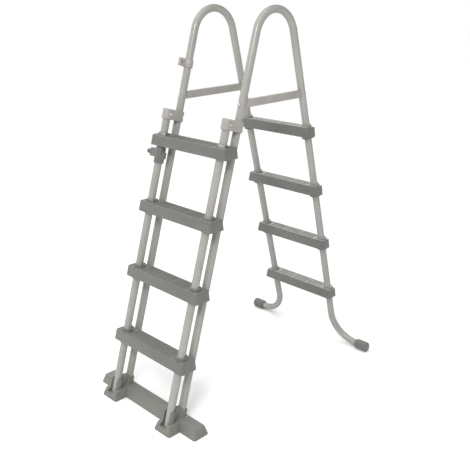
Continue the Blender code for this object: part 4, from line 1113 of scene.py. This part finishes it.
baseShape = dict(
    slope=0.012, height=0.041, barFront=0.042, footHalf=0.051, footHeight=0.039, corner=0.010, edge=0.0022,
    socketWall=0.006, socketTop=0.070, cradleWall=0.0075, cradleTop=0.088, skin=0.004, wall=0.012,
)


def slopedBlock(name, low, high, slope, corner):
    bm = bmesh.new()
    rings = []
    for inset, z in ((0.0, -0.01), (0.0, 0.004), (slope, high[2])):
        spans = low[0] + inset, high[0] - inset, low[1] + inset, high[1] - inset
        outline = roundedBox(*spans, max(corner - inset * 0.3, 0.002))
        rings.append([(x, y, z) for x, y in outline])
    addLoft(bm, rings)
    return fromBmesh(name, bm)


def baseStep():
    low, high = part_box("base_step")
    legY = outerFrames["left"].translation.y
    shape = baseShape
    barFront = legY - shape["barFront"]
    barHigh = (high.x, high.y, shape["height"])
    base = slopedBlock("baseStep", (low.x, barFront), barHigh, shape["slope"], shape["corner"])
    added = []
    for side in sides:
        x = sides[side] * halfSpacing
        footLow = (x - shape["footHalf"], low.y)
        footHigh = (x + shape["footHalf"], legY + 0.004, shape["footHeight"])
        added.append(slopedBlock("foot", footLow, footHigh, shape["slope"], shape["corner"]))
        leg, guard = outerFrames[side], guardFrames[side]
        socketTop, cradleTop = up(leg, shape["socketTop"]), up(guard, shape["cradleTop"])
        socketRadius = tubeRadius + shape["socketWall"]
        cradleRadius = tubeRadius + shape["cradleWall"]
        added.append(lathe("socket", [(socketRadius + 0.003, 0.0), (socketRadius, socketTop)], leg, 40))
        added.append(lathe("cradle", [(cradleRadius + 0.004, 0.0), (cradleRadius, cradleTop)], guard, 44))
        gap = guardGap * cos(outerLean)
        webTop = (socketTop + cradleTop) / 2
        added.append(block("web", (-0.0145, -gap + 0.0061, 0.012), (0.0145, -0.0053, webTop), leg))
    combine(base, "UNION", *added)
    cutters = [block("floor", (-1, -2, -0.5), (1, 1, 0.0))]
    front, back = barFront + shape["wall"], high.y - shape["wall"]
    inner = halfSpacing - shape["footHalf"] - 0.012
    top = shape["height"] - shape["skin"]
    pockets = ((-inner, -0.0015), (0.0015, inner), (-0.312, -0.252), (0.252, 0.312))  # from X to X
    for start, end in pockets:
        cutters.append(block("pocket", (start, front, -0.1), (end, back, top), None, 0.004))
    for side in sides:
        leg, guard = outerFrames[side], guardFrames[side]
        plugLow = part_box(side + "_tube_plug")[0]
        slotFloor = up(guard, plugLow.z + tubeRadius * sin(outerLean)) - 0.0003
        slot = tubeRadius + 0.0015
        openFront = arc(0, 0, slot, 0, 180, 24) + [(-slot, -0.2), (slot, -0.2)]
        cutters.append(prism("slot", openFront, slotFloor, 0.3, guard))
        bore = tubeRadius + 0.0003
        cutters.append(lathe("bore", [(bore, up(leg, 0.0101)), (bore, 0.3)], leg, 48))
    for cutter in cutters:
        combine(base, "DIFFERENCE", cutter)
    rounded(base, shape["edge"], 3, 28)
    dress(base, "a_frame", "base_plastic", "base_step")


baseStep()
print("base made")

# ---- latch on the left guard tube

latchShape = dict(wall=0.006, wingWidth=0.022, wingReach=0.060, wingLength=0.040, rise=0.008, length=0.074,
                  lobeReach=0.036, lobeWidth=0.018, lobeLength=0.030, edge=0.0018)
knobShape = dict(radius=0.0112, flutes=12, fluteDepth=0.0006, neck=0.0075, neckLength=0.007, bore=0.0034)
springShape = dict(wire=0.0006, clear=0.0008, turns=7, steps=24)


def plungerAxis():
    guard = guardFrames["left"]
    return aimed(moved(guard, z=upTo(guard, "latch_knob")), "-X")


def outTo(x, node):
    # distance out along the plunger to this X
    spot = middle(node)
    spot.x = x
    return (plungerAxis().inverted() @ spot).z


def latchHousing():
    guard = guardFrames["left"]
    shape = latchShape
    plunger = upTo(guard, "latch_knob")
    centre = plunger - shape["rise"]
    outer = tubeRadius + shape["wall"]
    half = shape["length"] / 2
    housing = lathe("latchHousing", [(outer, centre - half), (outer, centre + half)], guard, 40)
    wing = block(
        "wing", (-shape["wingReach"], -shape["wingWidth"] / 2, plunger - shape["wingLength"] / 2),
        (0.001, shape["wingWidth"] / 2, plunger + shape["wingLength"] / 2), guard, 0.003,
    )
    lobe = block(
        "lobe", (-0.001, -shape["lobeWidth"] / 2, centre - shape["lobeLength"] / 2),
        (shape["lobeReach"], shape["lobeWidth"] / 2, centre + shape["lobeLength"] / 2), guard, 0.004,
    )
    combine(housing, "UNION", wing, lobe)
    bore = tubeRadius + 0.0002
    combine(housing, "DIFFERENCE", lathe("tube", [(bore, centre - 0.1), (bore, centre + 0.1)], guard, 48))
    stem = knobShape["bore"]
    combine(housing, "DIFFERENCE", lathe("stem", [(stem, 0.045), (stem, 0.08)], plungerAxis(), 24))
    rounded(housing, shape["edge"])
    dress(housing, "safety_ladder", "tread_plastic", "latch_housing")


def latchKnob():
    shape = knobShape
    low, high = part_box("latch_knob")
    axis = plungerAxis()
    start = outTo(high.x, "latch_knob")
    end = start + (high.x - low.x)
    radius, neck, bore = shape["radius"], shape["neck"], shape["bore"]
    shoulder = start + shape["neckLength"]
    # (radius, distance out, share of the flutes)
    profile = [(bore, start + 0.010, 0), (bore, start, 0), (neck, start, 0), (neck, shoulder, 0)]
    profile += [(radius - 0.001, shoulder + 0.0008, 0), (radius, shoulder + 0.002, 1)]
    profile += [(radius, end - 0.004, 1), (radius - 0.0008, end - 0.002, 0.6)]
    profile += [(radius - 0.003, end - 0.0004, 0), (radius * 0.4, end, 0), (0.001, end, 0)]
    bm = bmesh.new()
    rings = []
    for radius, z, fluted in profile:
        ring = []
        for step in range(96):
            turn = 2 * pi * step / 96
            r = radius - shape["fluteDepth"] * fluted * (0.5 + 0.5 * cos(shape["flutes"] * turn))
            ring.append((r * cos(turn), r * sin(turn), z))
        rings.append(ring)
    addLoft(bm, rings)
    knob = fromBmesh("latchKnob", bm, axis)
    dress(knob, "latch_plunger", "tread_plastic", "latch_knob")


def latchSpring():
    # a helix along the plunger, between its collar and the housing's end wall
    shape = springShape
    low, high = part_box("latch_spring")
    axis = plungerAxis()
    start, end = outTo(high.x, "latch_spring") + shape["wire"], outTo(low.x, "latch_spring") - shape["wire"]
    coil = (high.z - low.z) / 2 - shape["clear"]
    points = []
    for step in range(shape["turns"] * shape["steps"] + 1):
        turn = 2 * pi * step / shape["steps"]
        z = start + (end - start) * step / (shape["turns"] * shape["steps"])
        points.append((axis @ Vector((coil * cos(turn), coil * sin(turn), z)), 1.0))
    tube("latchSpring", points, shape["wire"], 10, "latch_plunger", "bright_steel", "latch_spring")


latchHousing()
latchKnob()
latchSpring()
print("latch made")

# the plunger pin's own CAD shape is right, and only needs its finish
pin = frame["nodes"]["latch_pin"]
pin.data.materials.clear()
pin.data.materials.append(finishes["bright_steel"])

# ---- floor, light and camera

studio = dict(
    floor=(0.95, 0.95, 0.95), world=0.62, backdrop=1.0, above=1.5, aboveWidth=70, target=(0, 0, 0.9),
)
# each lamp is (place, width, power)
lamps = dict(keyLight=((1.75, -3.1, 3.6), 1.3, 95.0), sideLight=((-3.4, -1.4, 2.4), 1.8, 22.0))


def studioFloor():
    bm = bmesh.new()
    bmesh.ops.create_grid(bm, x_segments=2, y_segments=2, size=400)
    floor = fromBmesh("studioFloor", bm)
    finish, _, shader = newFinish("paleFloor")
    shader.inputs["Base Color"].default_value = (*studio["floor"], 1)
    shader.inputs["Roughness"].default_value = 0.9
    shader.inputs["Specular IOR Level"].default_value = 0.1
    floor.data.materials.append(finish)


def areaLight(name, place, size, power):
    light = bpy.data.lights.new(name, "AREA")
    light.shape = "DISK"
    light.size = size
    light.energy = power
    obj = linked(name, light)
    obj.location = place
    obj.rotation_euler = (Vector(studio["target"]) - obj.location).to_track_quat("-Z", "Y").to_euler()


def studioLight():
    world = bpy.data.worlds.new("softWhite")
    bpy.context.scene.world = world
    world.use_nodes = True
    tree = world.node_tree
    background = tree.nodes["Background"]
    background.inputs["Color"].default_value = (1, 1, 1, 1)
    # the backdrop looks white, and lights the ladder less than that
    seen = addNode(tree, "ShaderNodeLightPath").outputs["Is Camera Ray"]
    strength = ranged(tree, seen, 0, 1, studio["world"], studio["backdrop"])
    tree.links.new(strength, background.inputs["Strength"])
    for name, (place, size, power) in lamps.items():
        areaLight(name, place, size, power)
    above = bpy.data.lights.new("aboveLight", "SUN")
    above.energy = studio["above"]
    above.angle = radians(studio["aboveWidth"])
    linked("aboveLight", above).rotation_euler = (radians(12), radians(-14), 0)


view = dict(
    place=(2.0576, -2.2506, 1.7352), azimuth=42.906, elevation=15.365, roll=1.976,
    lens=49.35, sensor=36.0, shiftY=-0.0745,
)


def studioCamera():
    azimuth, elevation, roll = (radians(view[key]) for key in ("azimuth", "elevation", "roll"))
    data = bpy.data.cameras.new("studioCamera")
    data.lens = view["lens"]
    data.sensor_width = view["sensor"]
    data.shift_y = view["shiftY"]
    turn = Matrix.Rotation(azimuth, 4, "Z") @ Matrix.Rotation(pi / 2 - elevation, 4, "X")
    turn = turn @ Matrix.Rotation(roll, 4, "Z")
    bpy.context.scene.camera = linked("studioCamera", data, Matrix.Translation(view["place"]) @ turn)


studioFloor()
studioLight()
studioCamera()
bpy.context.scene.view_settings.view_transform = "Standard"
print("studio made")

bpy.context.view_layer.update()
